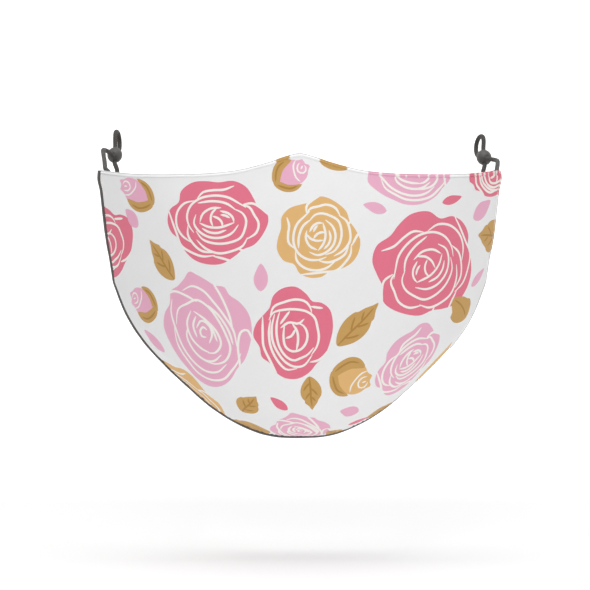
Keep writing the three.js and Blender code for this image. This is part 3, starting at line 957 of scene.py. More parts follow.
MOTIFS: tuple[Motif, ...] = (
    Motif(SPIRAL_ROSE, Ink.LIGHT_PINK, 49.2, -9.8, 44.5, 28.5, turn=6),
    Motif(CUPPED_ROSE, Ink.DEEP_PINK, -37.0, -30.0, 48.0, 37.5),
    Motif(CUPPED_ROSE, Ink.TAN, 8.5, -36.0, 37.0, 35.5, spin=75),
    Motif(OPEN_ROSE, Ink.DEEP_PINK, -85.0, -45.2, 49.0, 32.0, turn=12),
    Motif(CUPPED_ROSE, Ink.DEEP_PINK, 57.2, -51.0, 59.5, 48.0, spin=48, mirror=True),
    Motif(SPIRAL_ROSE, Ink.LIGHT_PINK, -42.5, -78.5, 46.5, 52.5),
    Motif(OPEN_ROSE, Ink.DEEP_PINK, -2.5, -78.0, 35.5, 41.5),
    Motif(PETAL, Ink.TAN, 59.5, -96.6, 4.6, 25.0, turn=-30),
    Motif(CUPPED_ROSE, Ink.LIGHT_PINK, 48.2, -93.4, 28.5, 39.5, spin=60, turn=-44),
    Motif(CUPPED_ROSE, Ink.TAN, -48.5, -110.0, 44.0, 38.0, turn=-20),
    Motif(SPIRAL_ROSE, Ink.LIGHT_PINK, 0.0, -124.5, 27.0, 30.0),
    Motif(OPEN_ROSE, Ink.DEEP_PINK, 86.5, -15.0, 38.0, 19.0),
    Motif(ROSE_BUD, Ink.LIGHT_PINK, -72.0, -21.2, 14.5, 24.5, turn=72),
    Motif(ROSE_BUD, Ink.LIGHT_PINK, -4.0, -8.4, 15.5, 18.0, turn=-54),
    Motif(ROSE_BUD, Ink.LIGHT_PINK, -69.0, -70.0, 17.0, 21.0, turn=80),
    Motif(ROSE_BUD, Ink.TAN, 23.0, -98.5, 20.0, 21.0, turn=-105),
    Motif(LEAF, Ink.LEAF, -60.5, -48.9, 10.5, 22.5, turn=42),
    Motif(LEAF, Ink.LEAF, 25.5, -74.5, 11.5, 26.5, turn=-46),
    Motif(LEAF, Ink.LEAF, 5.0, -105.5, 9.5, 18.0, turn=185),
    Motif(LEAF, Ink.LEAF, -22.5, -111.5, 11.0, 14.0, turn=-45),
    Motif(LEAF, Ink.LEAF, 84.5, -42.3, 15.0, 23.0, turn=82),
    Motif(CURLED_LEAF, Ink.LEAF, 71.3, -73.1, 15.5, 12.0),
    Motif(LEAF, Ink.LEAF, -22.0, -124.0, 15.0, 20.0, turn=60),
    Motif(LEAF, Ink.LEAF, 35.4, -117.0, 9.0, 15.0, turn=-44),
    Motif(LEAF, Ink.LEAF, 12.8, -2.6, 8.0, 21.0, turn=66),
    Motif(LEAF, Ink.LEAF, 15.0, -126.5, 8.0, 12.0, turn=60),
    Motif(PETAL, Ink.LIGHT_PINK, -73.9, -32.2, 6.5, 11.5, turn=53),
    Motif(PETAL, Ink.LIGHT_PINK, -17.0, -53.5, 6.5, 12.5),
    Motif(PETAL, Ink.LIGHT_PINK, 33.0, -24.0, 5.0, 11.5, turn=72),
    Motif(PETAL, Ink.DEEP_PINK, 67.0, -23.0, 4.0, 12.5, turn=-82),
    Motif(PETAL, Ink.LIGHT_PINK, 80.6, -29.5, 7.8, 15.5, turn=-64),
    Motif(PETAL, Ink.LIGHT_PINK, 79.0, -60.0, 4.5, 14.0, turn=-60),
    Motif(PETAL, Ink.LIGHT_PINK, -64.0, -86.5, 5.5, 15.0, turn=50),
    Motif(PETAL, Ink.DEEP_PINK, -9.0, -110.5, 4.5, 10.5, turn=45),
    Motif(PETAL, Ink.LIGHT_PINK, 22.0, -115.0, 7.0, 10.0, turn=80),
    Motif(PETAL, Ink.DEEP_PINK, 26.0, -121.0, 4.5, 11.0, turn=-60),
)


def turned(points: Array, degrees: float) -> Array:
    """Turns flat points anticlockwise."""
    turn = math.radians(degrees)
    return points @ np.array([[math.cos(turn), math.sin(turn)], [-math.sin(turn), math.cos(turn)]])


class Print:
    """The printed pattern, as areas of ink laid out on a layer of cloth."""

    LINE_WIDTH = 1.05
    POINT_STEP = 1.3
    THIN_END = 0.25
    TAPER = 5.0

    def __init__(self, layer: Layer, width: float, height: float) -> None:
        """Keeps the layer that it is printed on.

        Args:
            layer: The layer of cloth.
            width: The layer's width on the flat, in millimetres.
            height: Its height.
        """
        self.layer = layer
        self.size = np.array([width, height])

    def _on_cloth(self, motif: Motif, flat: Array) -> Array:
        """Lays points of a motif, in millimetres about its middle, onto the layer.

        Args:
            motif: The motif.
            flat: Its points.

        Returns:
            The points' places on the layer, in millimetres across and down.
        """
        u0, v0 = FORM.locate(motif.x, motif.z)
        here = FORM.directions(np.array(np.clip(u0, -1, 1)), np.array(np.clip(v0, 0, 1)))
        across = unit(np.array([here.inward[1], -here.inward[0], 0.0]))
        up = np.cross(across, here.inward)
        up *= np.sign(up[2])
        centre, plane = FORM.face(u0, v0), np.stack([across, up], axis=1)
        place = np.tile([u0, v0], (len(flat), 1)).astype(float)
        step, furthest = 1e-4, 0.4
        for _ in range(8):
            steps = [place, place + [step, 0], place + [0, step]]
            seen = [(FORM.face(p[:, 0], p[:, 1]) - centre) @ plane for p in steps]
            slopes = np.stack([(seen[1] - seen[0]) / step, (seen[2] - seen[0]) / step], axis=-1)
            move = np.linalg.solve(slopes, (flat - seen[0])[..., None])[..., 0]
            place = place + move.clip(-furthest, furthest)
        s, t = self.layer.from_uv(place[:, 0], place[:, 1])
        return np.stack([s, t], axis=1) * self.size

    def _placed(self, motif: Motif, points: Array) -> Array:
        """Turns and scales a drawing's points to millimetres about the motif's middle."""
        points = np.asarray(points, float) / motif.drawing.reach()
        if motif.mirror:
            points = points * [-1, 1]
        size = np.array([motif.width / 2, motif.height / 2])
        return turned(turned(points, motif.spin) * size, motif.turn)

    def _stroke_outline(self, motif: Motif, stroke: Stroke) -> Array:
        """Gives the outline of a tapered stroke, in millimetres about the motif's middle."""
        line = smooth_line(self._placed(motif, stroke.points), self.POINT_STEP)
        ahead = unit(np.gradient(line, axis=0))
        aside = np.stack([-ahead[:, 1], ahead[:, 0]], axis=1)
        share = np.linspace(0, 1, len(line))
        taper = np.minimum(1, np.minimum(share, 1 - share) * self.TAPER) ** 0.6
        half = self.LINE_WIDTH * stroke.width / 2 * (self.THIN_END + (1 - self.THIN_END) * taper)
        return np.vstack([line + aside * half[:, None], (line - aside * half[:, None])[::-1]])

    def _clipped(self, outline: Array) -> Array:
        """Clips an outline to the layer."""
        for axis in (0, 1):
            for sign, limit in ((1, 0.0), (-1, -self.size[axis])):
                if len(outline) < 3:
                    return outline
                room = outline[:, axis] * sign - limit
                kept = []
                for i in range(len(outline)):
                    before, here = room[i - 1], room[i]
                    if (before < 0) != (here < 0):
                        share = before / (before - here)
                        kept.append(outline[i - 1] + (outline[i] - outline[i - 1]) * share)
                    if here >= 0:
                        kept.append(outline[i])
                outline = np.array(kept)
        return outline

    def areas(self) -> list[tuple[Ink, Array]]:
        """Lays every motif out.

        Returns:
            Areas of ink in the order in which they are printed, each with its outline on the
            layer in millimetres across and down.
        """
        found = []
        for motif in MOTIFS:
            inks = {"main": motif.ink, "leaf": Ink.LEAF, "line": Ink.CREAM, "vein": Ink.VEIN}
            outlines = [
                (inks[ink], smooth_line(self._placed(motif, shape), self.POINT_STEP, closed=True))
                for ink, shape in motif.drawing.shapes
            ]
            outlines += [
                (inks[ink], self._stroke_outline(motif, stroke)) for ink, stroke in motif.drawing.strokes
            ]
            counts = np.cumsum([len(outline) for _, outline in outlines])
            laid = np.split(self._on_cloth(motif, np.vstack([o for _, o in outlines])), counts[:-1])
            for (ink, _), outline in zip(outlines, laid):
                outline = self._clipped(outline)
                if len(outline) > 2:
                    found.append((ink, outline))
        LOG.info("print: %d motifs, %d areas of ink", len(MOTIFS), len(found))
        return found


def inside_outline(points: Array, outline: Array) -> Array:
    """Tells which points lie inside an outline.

    Args:
        points: The points.
        outline: The outline's corners.

    Returns:
        True for each point inside.
    """
    x, y = points[:, 0][:, None], points[:, 1][:, None]
    ax, ay = outline[:, 0], outline[:, 1]
    bx, by = np.roll(ax, -1), np.roll(ay, -1)
    crosses = (ay > y) != (by > y)
    with np.errstate(divide="ignore", invalid="ignore"):
        at = (bx - ax) * (y - ay) / (by - ay) + ax
    return (crosses & (x < at)).sum(1) % 2 == 1


@dataclass
class PrintedPanel:
    """The outer panel, whose front is cut along the outlines of its print."""

    wall: float = 0.9
    width: float = 222.0
    height: float = 138.0
    grid: float = 2.2
    back_grid: float = 5.0
    border_step: float = 1.6
    edge_radius: float = 0.55
    layer: Layer = Layer(2.3, 1.1, 1.1, 2.3, 0.9)
    areas: list[tuple[Ink, Array]] = field(default_factory=list)

    FIRST_ROW = 0.6
    MERGE_WITHIN = 0.015
    EDGE_CLEAR = 0.4
    ROUNDING = (0.25, 0.6, 1.0)

    @property
    def size(self) -> Array:
        """Gives the width and the height."""
        return np.array([self.width, self.height])

    def _border(self) -> Array:
        """Gives points round the layer's border, in millimetres, anticlockwise."""
        w, h = self.width, self.height
        across, down = (np.linspace(0, side, int(side / self.border_step) + 1)[:-1] for side in (w, h))
        lower, right = (across, 0 * across), (w + 0 * down, down)
        sides = (lower, right, (w - across, h + 0 * across), (0 * down, h - down))
        return np.vstack([np.stack(side, 1) for side in sides])

    def _cut(
        self, outlines: Sequence[Array], grid: float, rows: Sequence[float]
    ) -> tuple[Array, list[tuple[int, ...]]]:
        """Cuts the flat layer into triangles.

        Args:
            outlines: Outlines that edges must follow, the border's first.
            grid: The distance between the points that fill it.
            rows: Distances from the border at which rows of points follow it.

        Returns:
            The points, in millimetres across and down, and the triangles.
        """
        edge = max([*rows, grid * self.FIRST_ROW])
        lines_at = []
        for side in self.size:
            between = np.linspace(edge + grid / 2, side - edge - grid / 2, int(side / grid))
            lines_at.append(np.concatenate([rows, between, side - np.array(rows)]))
        fill = np.stack(np.meshgrid(*lines_at), axis=-1).reshape(-1, 2)
        edges, count = [], 0
        for outline in outlines:
            size = len(outline)
            edges += [(count + i, count + (i + 1) % size) for i in range(size)]
            count += size
        flat = [Vector(p) for p in np.vstack([*outlines, fill]).tolist()]
        cut = delaunay_2d_cdt(flat, edges, [], 0, self.MERGE_WITHIN, False)
        found = np.array([tuple(p) for p in cut[0]])
        return found, self._without_flat(found, [tuple(f) for f in cut[2]])

    def _without_flat(self, flat: Array, faces: list[tuple[int, ...]]) -> list[tuple[int, ...]]:
        """Leaves out the triangles whose corners all lie on one line of the border."""
        corners = flat[np.array(faces)]
        first, second = corners[:, 1] - corners[:, 0], corners[:, 2] - corners[:, 0]
        area = abs(first[:, 0] * second[:, 1] - first[:, 1] * second[:, 0])
        on_border = np.minimum(corners, self.size - corners).min(2).max(1) < 1e-6
        return [face for face, empty in zip(faces, (area < 1e-6) & on_border) if not empty]

    def ink_at(self, u: Array, v: Array, plain: Ink) -> Array:
        """Finds the ink on the panel next to places on the mask's edge.

        Args:
            u: The places across the mask.
            v: The places down the mask.
            plain: The colour where nothing is printed; the light roll passes a painted highlight here, its
                thread a painted shade.

        Returns:
            The colour at each place.
        """
        flat = np.stack(self.layer.from_uv(u, v), axis=1) * self.size
        return self._colours(np.clip(flat, self.EDGE_CLEAR, self.size - self.EDGE_CLEAR), plain)

    def _colours(self, centres: Array, plain: Ink = Ink.CLOTH) -> Array:
        """Finds the ink at the middle of each triangle."""
        shades = np.tile(rgba(*plain.value), (len(centres), 1))
        for ink, outline in self.areas:
            low, high = outline.min(0), outline.max(0)
            near = np.flatnonzero(((centres >= low) & (centres <= high)).all(1))
            covered = near[inside_outline(centres[near], outline)]
            if ink is Ink.CREAM:
                covered = covered[(shades[covered] != rgba(*plain.value)).any(1)]
            shades[covered] = rgba(*ink.value)
        return shades

    def _laid(self, flat: Array, depth: Array) -> tuple[Array, Array]:
        """Lays flat points on the mask, each at its depth, and gives the way in there too."""
        u, v = self.layer.to_uv(flat[:, 0] / self.width, flat[:, 1] / self.height)
        inward = FORM.directions(np.clip(u, -1, 1), np.clip(v, 0, 1)).inward
        return FORM.face(u, v) + inward * depth[:, None], inward

    def _facing(
        self, points: Array, faces: Sequence[tuple[int, ...]], outward: Array
    ) -> list[tuple[int, ...]]:
        """Turns triangles so that they face outward."""
        corners = points[np.array(faces)]
        normal = np.cross(corners[:, 1] - corners[:, 0], corners[:, 2] - corners[:, 0])
        right = (normal * outward[np.array(faces)[:, 0]]).sum(1) > 0
        return [face if keep else face[::-1] for face, keep in zip(faces, right)]

    def _rim(self, flat: Array, faces: Sequence[tuple[int, ...]]) -> list[tuple[float, int]]:
        """Lists the border's vertices in order, each with its distance round the border."""
        sides = {(f[i], f[(i + 1) % 3]) for f in faces for i in range(3)}
        w, h = self.width, self.height
        found = []
        for i in {i for a, b in sides if (b, a) not in sides for i in (a, b)}:
            x, y = flat[i]
            gaps = (y, w - x, h - y, x)
            side = gaps.index(min(gaps))
            found.append(((x, w + y, 2 * w + h - x, 2 * w + 2 * h - y)[side], i))
        return sorted(found)

    def _edge(
        self, front: list[tuple[float, int]], back: list[tuple[float, int]], count: int
    ) -> list[tuple[int, ...]]:
        """Joins the border of the front to that of the back with triangles.

        Args:
            front: The front's border, from _rim.
            back: The back's border.
            count: How many vertices the front has.

        Returns:
            The triangles.
        """
        whole = 2 * self.width + 2 * self.height
        a, b = front[0][1], count + back[0][1]
        steps = [(at, False, i) for at, i in (*front[1:], (whole, front[0][1]))]
        steps += [(at, True, count + i) for at, i in (*back[1:], (whole, back[0][1]))]
        faces = []
        for _, at_back, i in sorted(steps):
            faces.append((a, i, b))
            a, b = (a, i) if at_back else (i, b)
        return faces

    def _dress(self, mesh: bpy.types.Mesh, centres: Array, normals: Array, walls: int) -> None:
        """Colours the front by its print and gives the whole its smooth normals.

        Args:
            mesh: The panel's mesh, whose first triangles are the front's.
            centres: The middle of each of the front's triangles, on the flat layer.
            normals: The normal at each vertex.
            walls: How many triangles, the last ones, join the front to the back.
        """
        shades = np.tile(rgba(*Ink.CLOTH.value), (len(mesh.polygons), 1))
        shades[: len(centres)] = self._colours(centres)
        lay_print(mesh, "CORNER", np.repeat(shades, 3, axis=0))
        flat = np.empty(len(mesh.polygons) * 3, np.float32)
        mesh.polygons.foreach_get("normal", flat)
        whole = normals[corners_of(mesh)]
        whole[-3 * walls :] = np.repeat(flat.reshape(-1, 3)[-walls:], 3, axis=0)
        mesh.normals_split_custom_set(whole.tolist())

    def build(self) -> bpy.types.Object:
        """Builds the panel: a printed front, a plain back and the edge between them."""
        self.areas = Print(self.layer, self.width, self.height).areas()
        border, radius = self._border(), self.edge_radius
        rows = [radius * share for share in self.ROUNDING]
        front, front_faces = self._cut([border, *(o for _, o in self.areas)], self.grid, rows)
        back, back_faces = self._cut([border], self.back_grid, [])
        short = np.clip(radius - np.minimum(front, self.size - front).min(1), 0, radius)
        front_points, way_in = self._laid(front, radius - np.sqrt(radius**2 - short**2))
        back_points, back_way_in = self._laid(back, np.full(len(back), self.wall))
        edge = self._edge(self._rim(front, front_faces), self._rim(back, back_faces), len(front))
        faces = self._facing(front_points, front_faces, -way_in)
        back_out = self._facing(back_points, back_faces, back_way_in)
        faces += [tuple(len(front) + i for i in face) for face in back_out] + edge
        points = np.vstack([front_points, back_points])
        mesh = smooth_mesh("outer_panel_cloth", points, faces, np.vstack([front, back]) * MM)
        centres = front[np.array(front_faces)].mean(1)
        self._dress(mesh, centres, np.vstack([-way_in, back_way_in]), len(edge))
        piece = finished(mesh, "outer_panel_cloth", PRINTED.material())
        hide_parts("outer_panel")
        return piece


@dataclass
class Lining:
    """The dark cloth behind the printed panel."""

    depth: float = 1.3
    wall: float = 1.0
    across: int = 120
    down: int = 76
    hem_inset: float = 3.4
    flat: tuple[float, float] = (0.22, 0.137)
    layer: Layer = Layer(1.6, 1.4, 1.4, 1.6)

    def build(self) -> bpy.types.Object:
        """Builds the lining as a closed shell."""
        s, t = (
            grid.ravel()
            for grid in np.meshgrid(np.linspace(0, 1, self.across), np.linspace(0, 1, self.down))
        )
        u, v = self.layer.to_uv(s, t)
        face, inward = FORM.face(u, v), FORM.directions(u, v).inward
        points = np.vstack([face + inward * depth for depth in (self.depth, self.depth + self.wall)])
        count = len(face)
        at = np.arange(count).reshape(self.down, self.across)
        a, b, c, d = at[:-1, :-1].ravel(), at[:-1, 1:].ravel(), at[1:, 1:].ravel(), at[1:, :-1].ravel()
        faces = np.vstack([np.stack([a, d, c, b], 1), count + np.stack([a, b, c, d], 1)]).tolist()
        rim = np.concatenate([at[0], at[1:, -1], at[-1, -2::-1], at[-2:0:-1, 0]]).tolist()
        faces += [(i, j, count + j, count + i) for i, j in zip(rim, rim[1:] + rim[:1])]
        cloth = np.tile(np.stack([s, t], 1) * self.flat, (2, 1))
        mesh = smooth_mesh("lining_cloth", points, faces, cloth)
        piece = finished(mesh, "lining_cloth", DARK_LINING.material())
        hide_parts("lining")
        return piece


@dataclass
class RolledEdges:
    """The light and the dark rolled edge round the mask."""

    light_depth: float = 1.0
    dark_depth: float = 0.65
    light_radius: float = 0.75
    dark_radius: float = 1.1
    dark_thin: float = 0.45
    thread_radius: float = 0.22
    change: float = 0.72
    step: float = 0.7
    sides: int = 12

    TOP_ROWS = 260
    SIDE_ROWS = 70
    LOWER_ROWS = 240
    LOWER_RIGHT_ROWS = 50
    BEND = 0.3
    CORNER_CUT = 0.293
    START_INSET = 2.0
    END_GAP = 0.004

    def _corner(self, inset: float, radius: float) -> tuple[float, float]:
        """Gives the insets at which a roll's corner begins and at which it is cut short."""
        turn = radius + self.BEND
        return inset + turn, inset + turn * self.CORNER_CUT

    def light_line(self, inset: float) -> tuple[Array, Array]:
        """Gives u and v along the light edge, from the top left to the lower edge."""
        turn, corner = self._corner(inset, self.light_radius)
        top, low = (float(FORM.from_side(1, v, corner)) for v in (0.0, 1.0))
        start = FORM.from_side(-1, 0.0, self.START_INSET)
        u1 = np.linspace(start, FORM.from_side(1, 0.0, turn), self.TOP_ROWS)
        v2 = np.linspace(FORM.from_top(top, turn), FORM.from_lower(low, turn), self.SIDE_ROWS)
        u3 = np.linspace(FORM.from_side(1, 1.0, turn), self.change, self.LOWER_RIGHT_ROWS)
        u = np.concatenate([u1, [top], FORM.from_side(1, v2, inset), [low], u3])
        ends = [float(FORM.from_top(top, corner))], [float(FORM.from_lower(low, corner))]
        v = np.concatenate([FORM.from_top(u1, inset), ends[0], v2, ends[1], FORM.from_lower(u3, inset)])
        return u, v

    def dark_line(self, inset: float) -> tuple[Array, Array]:
        """Gives u and v along the dark edge, from the top left to where it meets the light one."""
        turn, corner = self._corner(inset, self.dark_radius)
        low = float(FORM.from_side(-1, 1.0, corner))
        v1 = np.linspace(0, FORM.from_lower(low, turn), self.SIDE_ROWS)
        u2 = np.linspace(FORM.from_side(-1, 1.0, turn), self.change - self.END_GAP, self.LOWER_ROWS)
        u = np.concatenate([FORM.from_side(-1, v1, inset), [low], u2])
        v = np.concatenate([v1, [float(FORM.from_lower(low, corner))], FORM.from_lower(u2, inset)])
        return u, v

    def _roll(
        self, name: str, place: tuple[Array, Array], depth: float, radius: float, thin: float
    ) -> bpy.types.Mesh:
        """Makes one roll, whose radius falls to a share of itself at its end."""
        line = smooth_line(FORM.inside(*place, depth), self.step)
        share = np.linspace(0, 1, len(line))
        uneven = 0.02 * np.sin(share * 190) + 0.015 * np.sin(share * 77 + 1)
        thin_from = 0.6
        fall = np.clip((share - thin_from) / (1 - thin_from), 0, 1)
        radii = radius * (1 + uneven) * (1 - (1 - thin) * fall)
        return tube_mesh(name, line, radii, self.sides)

    def _dress(
        self, mesh: bpy.types.Mesh, place: tuple[Array, Array], panel: PrintedPanel, plain: Ink
    ) -> None:
        """Carries the panel's print on over a roll.

        Args:
            mesh: The roll's mesh, in rings from the line's start to its end.
            place: The u and v of the roll's line.
            panel: The printed panel, already built.
            plain: The colour where nothing is printed: a painted highlight on the light roll, a painted shade
                on its thread.
        """
        far = distances(FORM.face(*place))
        at = np.linspace(0, far[-1], len(mesh.vertices) // self.sides)
        shades = panel.ink_at(np.interp(at, far, place[0]), np.interp(at, far, place[1]), plain)
        lay_print(mesh, "POINT", np.repeat(shades, self.sides, axis=0))

    def _thread(self) -> tuple[tuple[Array, Array], Array]:
        """Gives u and v along the light edge's thread, and its depth at each.

        It runs on the crest of the top edge, and from the corner on along the front of the side. Its darker
        grey is partly painted shade: it draws the shaded outline of the light roll.
        """
        top, side = (np.array(self.light_line(inset)) for inset in (-0.1, 0.2))
        top_depth, side_depth, rows_before, change_rows = 0.75, 0.1, 10, 15
        rows_past = np.arange(top.shape[1]) - (self.TOP_ROWS - rows_before)
        share = np.clip(rows_past / change_rows, 0, 1)
        return tuple(top * (1 - share) + side * share), top_depth + (side_depth - top_depth) * share

    def build(self, panel: PrintedPanel) -> None:
        """Builds both rolled edges and the thread along the light one.

        Args:
            panel: The printed panel, already built.
        """
        place = self.light_line(self.light_radius)
        light = self._roll("light_edge_roll", place, self.light_depth, self.light_radius, 1.0)
        # Painted highlight: the roll's unprinted parts are drawn whiter than the panel's cloth.
        self._dress(light, place, panel, Ink.EDGE)
        light_piece = finished(light, "light_edge_roll", PRINTED_EDGE_PAINTED_HIGHLIGHT.material())
        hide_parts("light_rolled_edge")
        place, depth = self._thread()
        line = smooth_line(FORM.inside(*place, depth), self.step)
        thread = tube_mesh("light_edge_thread", line, np.full(len(line), self.thread_radius), self.sides)
        # Painted shade: the thread's unprinted parts are a darker grey than the roll, outlining it.
        self._dress(thread, place, panel, Ink.THREAD)
        thread_piece = finished(thread, "light_edge_thread", PRINTED_THREAD_PAINTED_SHADE.material())
        place = self.dark_line(self.dark_radius)
        dark = self._roll("dark_edge_roll", place, self.dark_depth, self.dark_radius, self.dark_thin)
        dark_piece = finished(dark, "dark_edge_roll", DARK_LINING.material())
        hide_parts("dark_rolled_edge")


# Cords, channels and beads


@dataclass(frozen=True)
class BeadPlace:
    """Where a bead stopper sits, how its holes lie and how long its tail is."""

    out: float
    back: float
    up: float
    pitch: float
    yaw: float
    roll: float
    tail: float


@dataclass
class EarLoop:
    """One ear cord with its channel and its bead stopper."""

    name: str
    side: int
    bead: BeadPlace
    upper: tuple[tuple[float, float, float], ...]
    lower: tuple[tuple[float, float, float], ...]
    cord_radius: float = 1.0
    end_gap: float = 1.0
    channel_bore: float = 1.3
    channel_wall: float = 0.8
    channel_flange: float = 1.6
    channel_base: float = 2.6
    channel_inset: float = 5.5
    channel_top_inset: float = 3.2
    channel_lower_inset: float = 4.0
    channel_length: float = 47.0
    bead_length: float = 7.2
    bead_diameter: float = 6.8
    hole_apart: float = 3.2
    hole_radius: float = 1.03
    tail_radius: float = 4.5
    tail_curl: float = 28.0
    seam_share: float = 0.62

    CHANNEL_ROWS = 60

    def channel(self, share: float) -> tuple[float, float]:
        """Gives u and v along the channel, from its lower mouth at 0 to its top mouth at 1."""
        low_u, top_u = (FORM.from_side(self.side, v, self.channel_inset) for v in (1.0, 0.0))
        low = float(FORM.from_lower(low_u, self.channel_lower_inset))
        top = float(FORM.from_top(top_u, self.channel_top_inset))
        v = low + (top - low) * share
        return float(FORM.from_side(self.side, v, self.channel_inset)), v

    def _ways(self) -> tuple[Vector, Vector, Vector, Vector]:
        """Gives the bead's middle and the directions of its holes: back, upright and apart."""
        turn = Matrix.Rotation(self.side * math.radians(self.bead.yaw), 3, "Z")
        turn = turn @ Matrix.Rotation(math.radians(self.bead.pitch), 3, "X")
        back, upright = turn @ Vector((0, 1, 0)), turn @ Vector((0, 0, 1))
        apart = Matrix.Rotation(self.side * math.radians(self.bead.roll), 3, back) @ upright
        middle = Vector((self.side * self.bead.out, self.bead.back, self.bead.up))
        return middle, back, upright, apart

    def _tail(self) -> list[Vector]:
        """Gives the points of the loop of cord past the bead."""
        middle, back, upright, apart = self._ways()
        level = back.cross(upright)
        points = []
        for degrees in np.linspace(-20, 200, 7):
            angle = math.radians(degrees)
            length = self.bead.tail - self.tail_radius + self.tail_radius * math.sin(angle)
            curl = length / self.tail_curl
            points.append(
                middle
                + back * (self.bead_length / 2 + self.tail_curl * math.sin(curl))
                + upright * self.tail_curl * (1 - math.cos(curl))
                + (Matrix.Rotation(curl, 3, level) @ apart) * self.tail_radius * math.cos(angle)
            )
        return points

    def route(self) -> Array:
        """Gives the cord's route, in millimetres: the points that the solid cord follows."""
        middle, back, _, apart = self._ways()
        half, reach = self.hole_apart / 2, self.bead_length / 2 + self.cord_radius / 2
        end = self.end_gap / 2 / FORM.side_height

        def in_channel(share: float) -> Array:
            """Gives a point of the cord in the channel."""
            return FORM.inside(*self.channel(share), self.channel_base + self.channel_bore)

        def free(rows: Sequence[tuple[float, float, float]]) -> list[tuple[float, float, float]]:
            """Gives a strand's points on this side."""
            return [(self.side * out, behind, up) for out, behind, up in rows]

        points = [in_channel(share) for share in (0.5 + end, 0.7, 0.9, 1.0)]
        points += free(self.upper)
        points += [middle + back * at + apart * half for at in (-reach, 0, reach)]
        points += self._tail()
        points += [middle + back * at - apart * half for at in (reach, 0, -reach)]
        points += free(self.lower)
        points += [in_channel(share) for share in (0.0, 0.1, 0.3, 0.5 - end)]
        return np.array([tuple(p) for p in points])

    def build_cord(self) -> tuple[bpy.types.Object, Array]:
        """Builds the elastic cord, and gives its path too."""
        path = smooth_line(self.route(), step=0.8)
        radii = np.full(len(path), self.cord_radius)
        mesh = tube_mesh(f"elastic_cord_{self.name}", path, radii, sides=14)
        piece = finished(mesh, f"elastic_cord_{self.name}", EAR_ELASTIC.material())
        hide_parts(f"ear_cord_{self.name}")
        return piece, path

    def _barrel(self) -> bpy.types.Mesh:
        """Makes the bead before it is drilled, in millimetres: a swollen ball along y."""
        shape = bmesh.new()
        bmesh.ops.create_uvsphere(shape, u_segments=40, v_segments=20, radius=1.0)
        for vertex in shape.verts:
            x, y, z = vertex.co
            swell = self.bead_diameter / 2 * max(math.hypot(x, y), 1e-6) ** -0.3
            vertex.co = (x * swell, self.bead_length / 2 * z, -y * swell)
        mesh = bpy.data.meshes.new("bead_blank")
        shape.to_mesh(mesh)
        shape.free()
        return mesh

    def _drill(self, end: int) -> bpy.types.Mesh:
        """Makes the rod that cuts one of the bead's holes."""
        shape = bmesh.new()
        place = Matrix.Translation((end * self.hole_apart / 2, 0, 0)) @ Matrix.Rotation(math.pi / 2, 4, "X")
        radius = self.hole_radius
        bmesh.ops.create_cone(
            shape,
            cap_ends=True,
            segments=28,
            radius1=radius,
            radius2=radius,
            depth=2 * self.bead_length,
            matrix=place,
        )
        mesh = bpy.data.meshes.new("bead_drill")
        shape.to_mesh(mesh)
        shape.free()
        return mesh

    def build_bead(self) -> bpy.types.Object:
        """Builds the bead stopper: a rounded barrel with two holes."""
        blank = linked("bead_blank", self._barrel())
        drills = [linked("bead_drill", self._drill(end)) for end in (-1, 1)]
        for drill in drills:
            cut = blank.modifiers.new("hole", "BOOLEAN")
            cut.operation, cut.solver, cut.object = "DIFFERENCE", "EXACT", drill
        drilled = evaluated(blank)
        for scrap in (blank, *drills):
            bpy.data.objects.remove(scrap, do_unlink=True)
        middle, back, _, apart = self._ways()
        place = Matrix((apart, back, apart.cross(back))).transposed().to_4x4()
        drilled.transform(Matrix.Scale(MM, 4) @ Matrix.Translation(middle) @ place)
        make_smooth(drilled)
        drilled.set_sharp_from_angle(angle=math.radians(40))
        piece = finished(drilled, f"bead_{self.name}", BEAD_RUBBER.material())
        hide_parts(f"bead_stopper_{self.name}")
        return piece

    def _strip(self) -> tuple[Array, Array, Array]:
        """Gives the middle of the channel's base at each row, the way across it and the way in."""
        places = [self.channel(share) for share in np.linspace(0, 1, self.CHANNEL_ROWS)]
        u, v = np.array(places).T
        centres, inward = FORM.inside(u, v, self.channel_base), FORM.directions(u, v).inward
        return centres, unit(np.cross(inward, unit(np.gradient(centres, axis=0)))), inward

    def seam(self, side: int) -> Array:
        """Gives the line of stitches along one flange of the channel.

        Args:
            side: -1 for one flange, 1 for the other.

        Returns:
            The line's points, in millimetres.
        """
        centres, across, inward = self._strip()
        reach = self.channel_bore + self.channel_wall + self.channel_flange * self.seam_share
        return (centres + across * side * reach + inward * (self.channel_wall + STITCH_LIFT))[2:-2]

    def _section(self) -> Array:
        """Gives the channel's section: across, and in from the lining, round from the left."""
        bore, wall = self.channel_bore, self.channel_wall
        outer = bore + wall
        reach = outer + self.channel_flange
        lip, foot, rise = 0.4, 0.6, 0.3

        def arc(radius: float, count: int) -> Array:
            """Gives the tunnel's curve from left to right."""
            turn = np.linspace(0.2, math.pi - 0.2, count)
            return np.stack([-radius * np.cos(turn), bore + radius * np.sin(turn)], 1)

        def mirrored(rows: Array) -> Array:
            """Gives the same curve on the other side."""
            return rows[::-1] * [-1, 1]

        under = np.array([(-reach, 0.0), (-bore - lip, 0.0), (-bore, lip), (-bore, bore)])
        over = [(reach, 0.0), (reach + 0.2, wall / 2), (reach, wall), (outer + foot, wall)]
        over = np.array([*over, (outer + foot / 4, wall + rise), (outer, bore)])
        halves = [under, arc(bore, 11), mirrored(under)[:-1], over, arc(outer, 15)[::-1], mirrored(over)[:-1]]
        return np.vstack(halves)

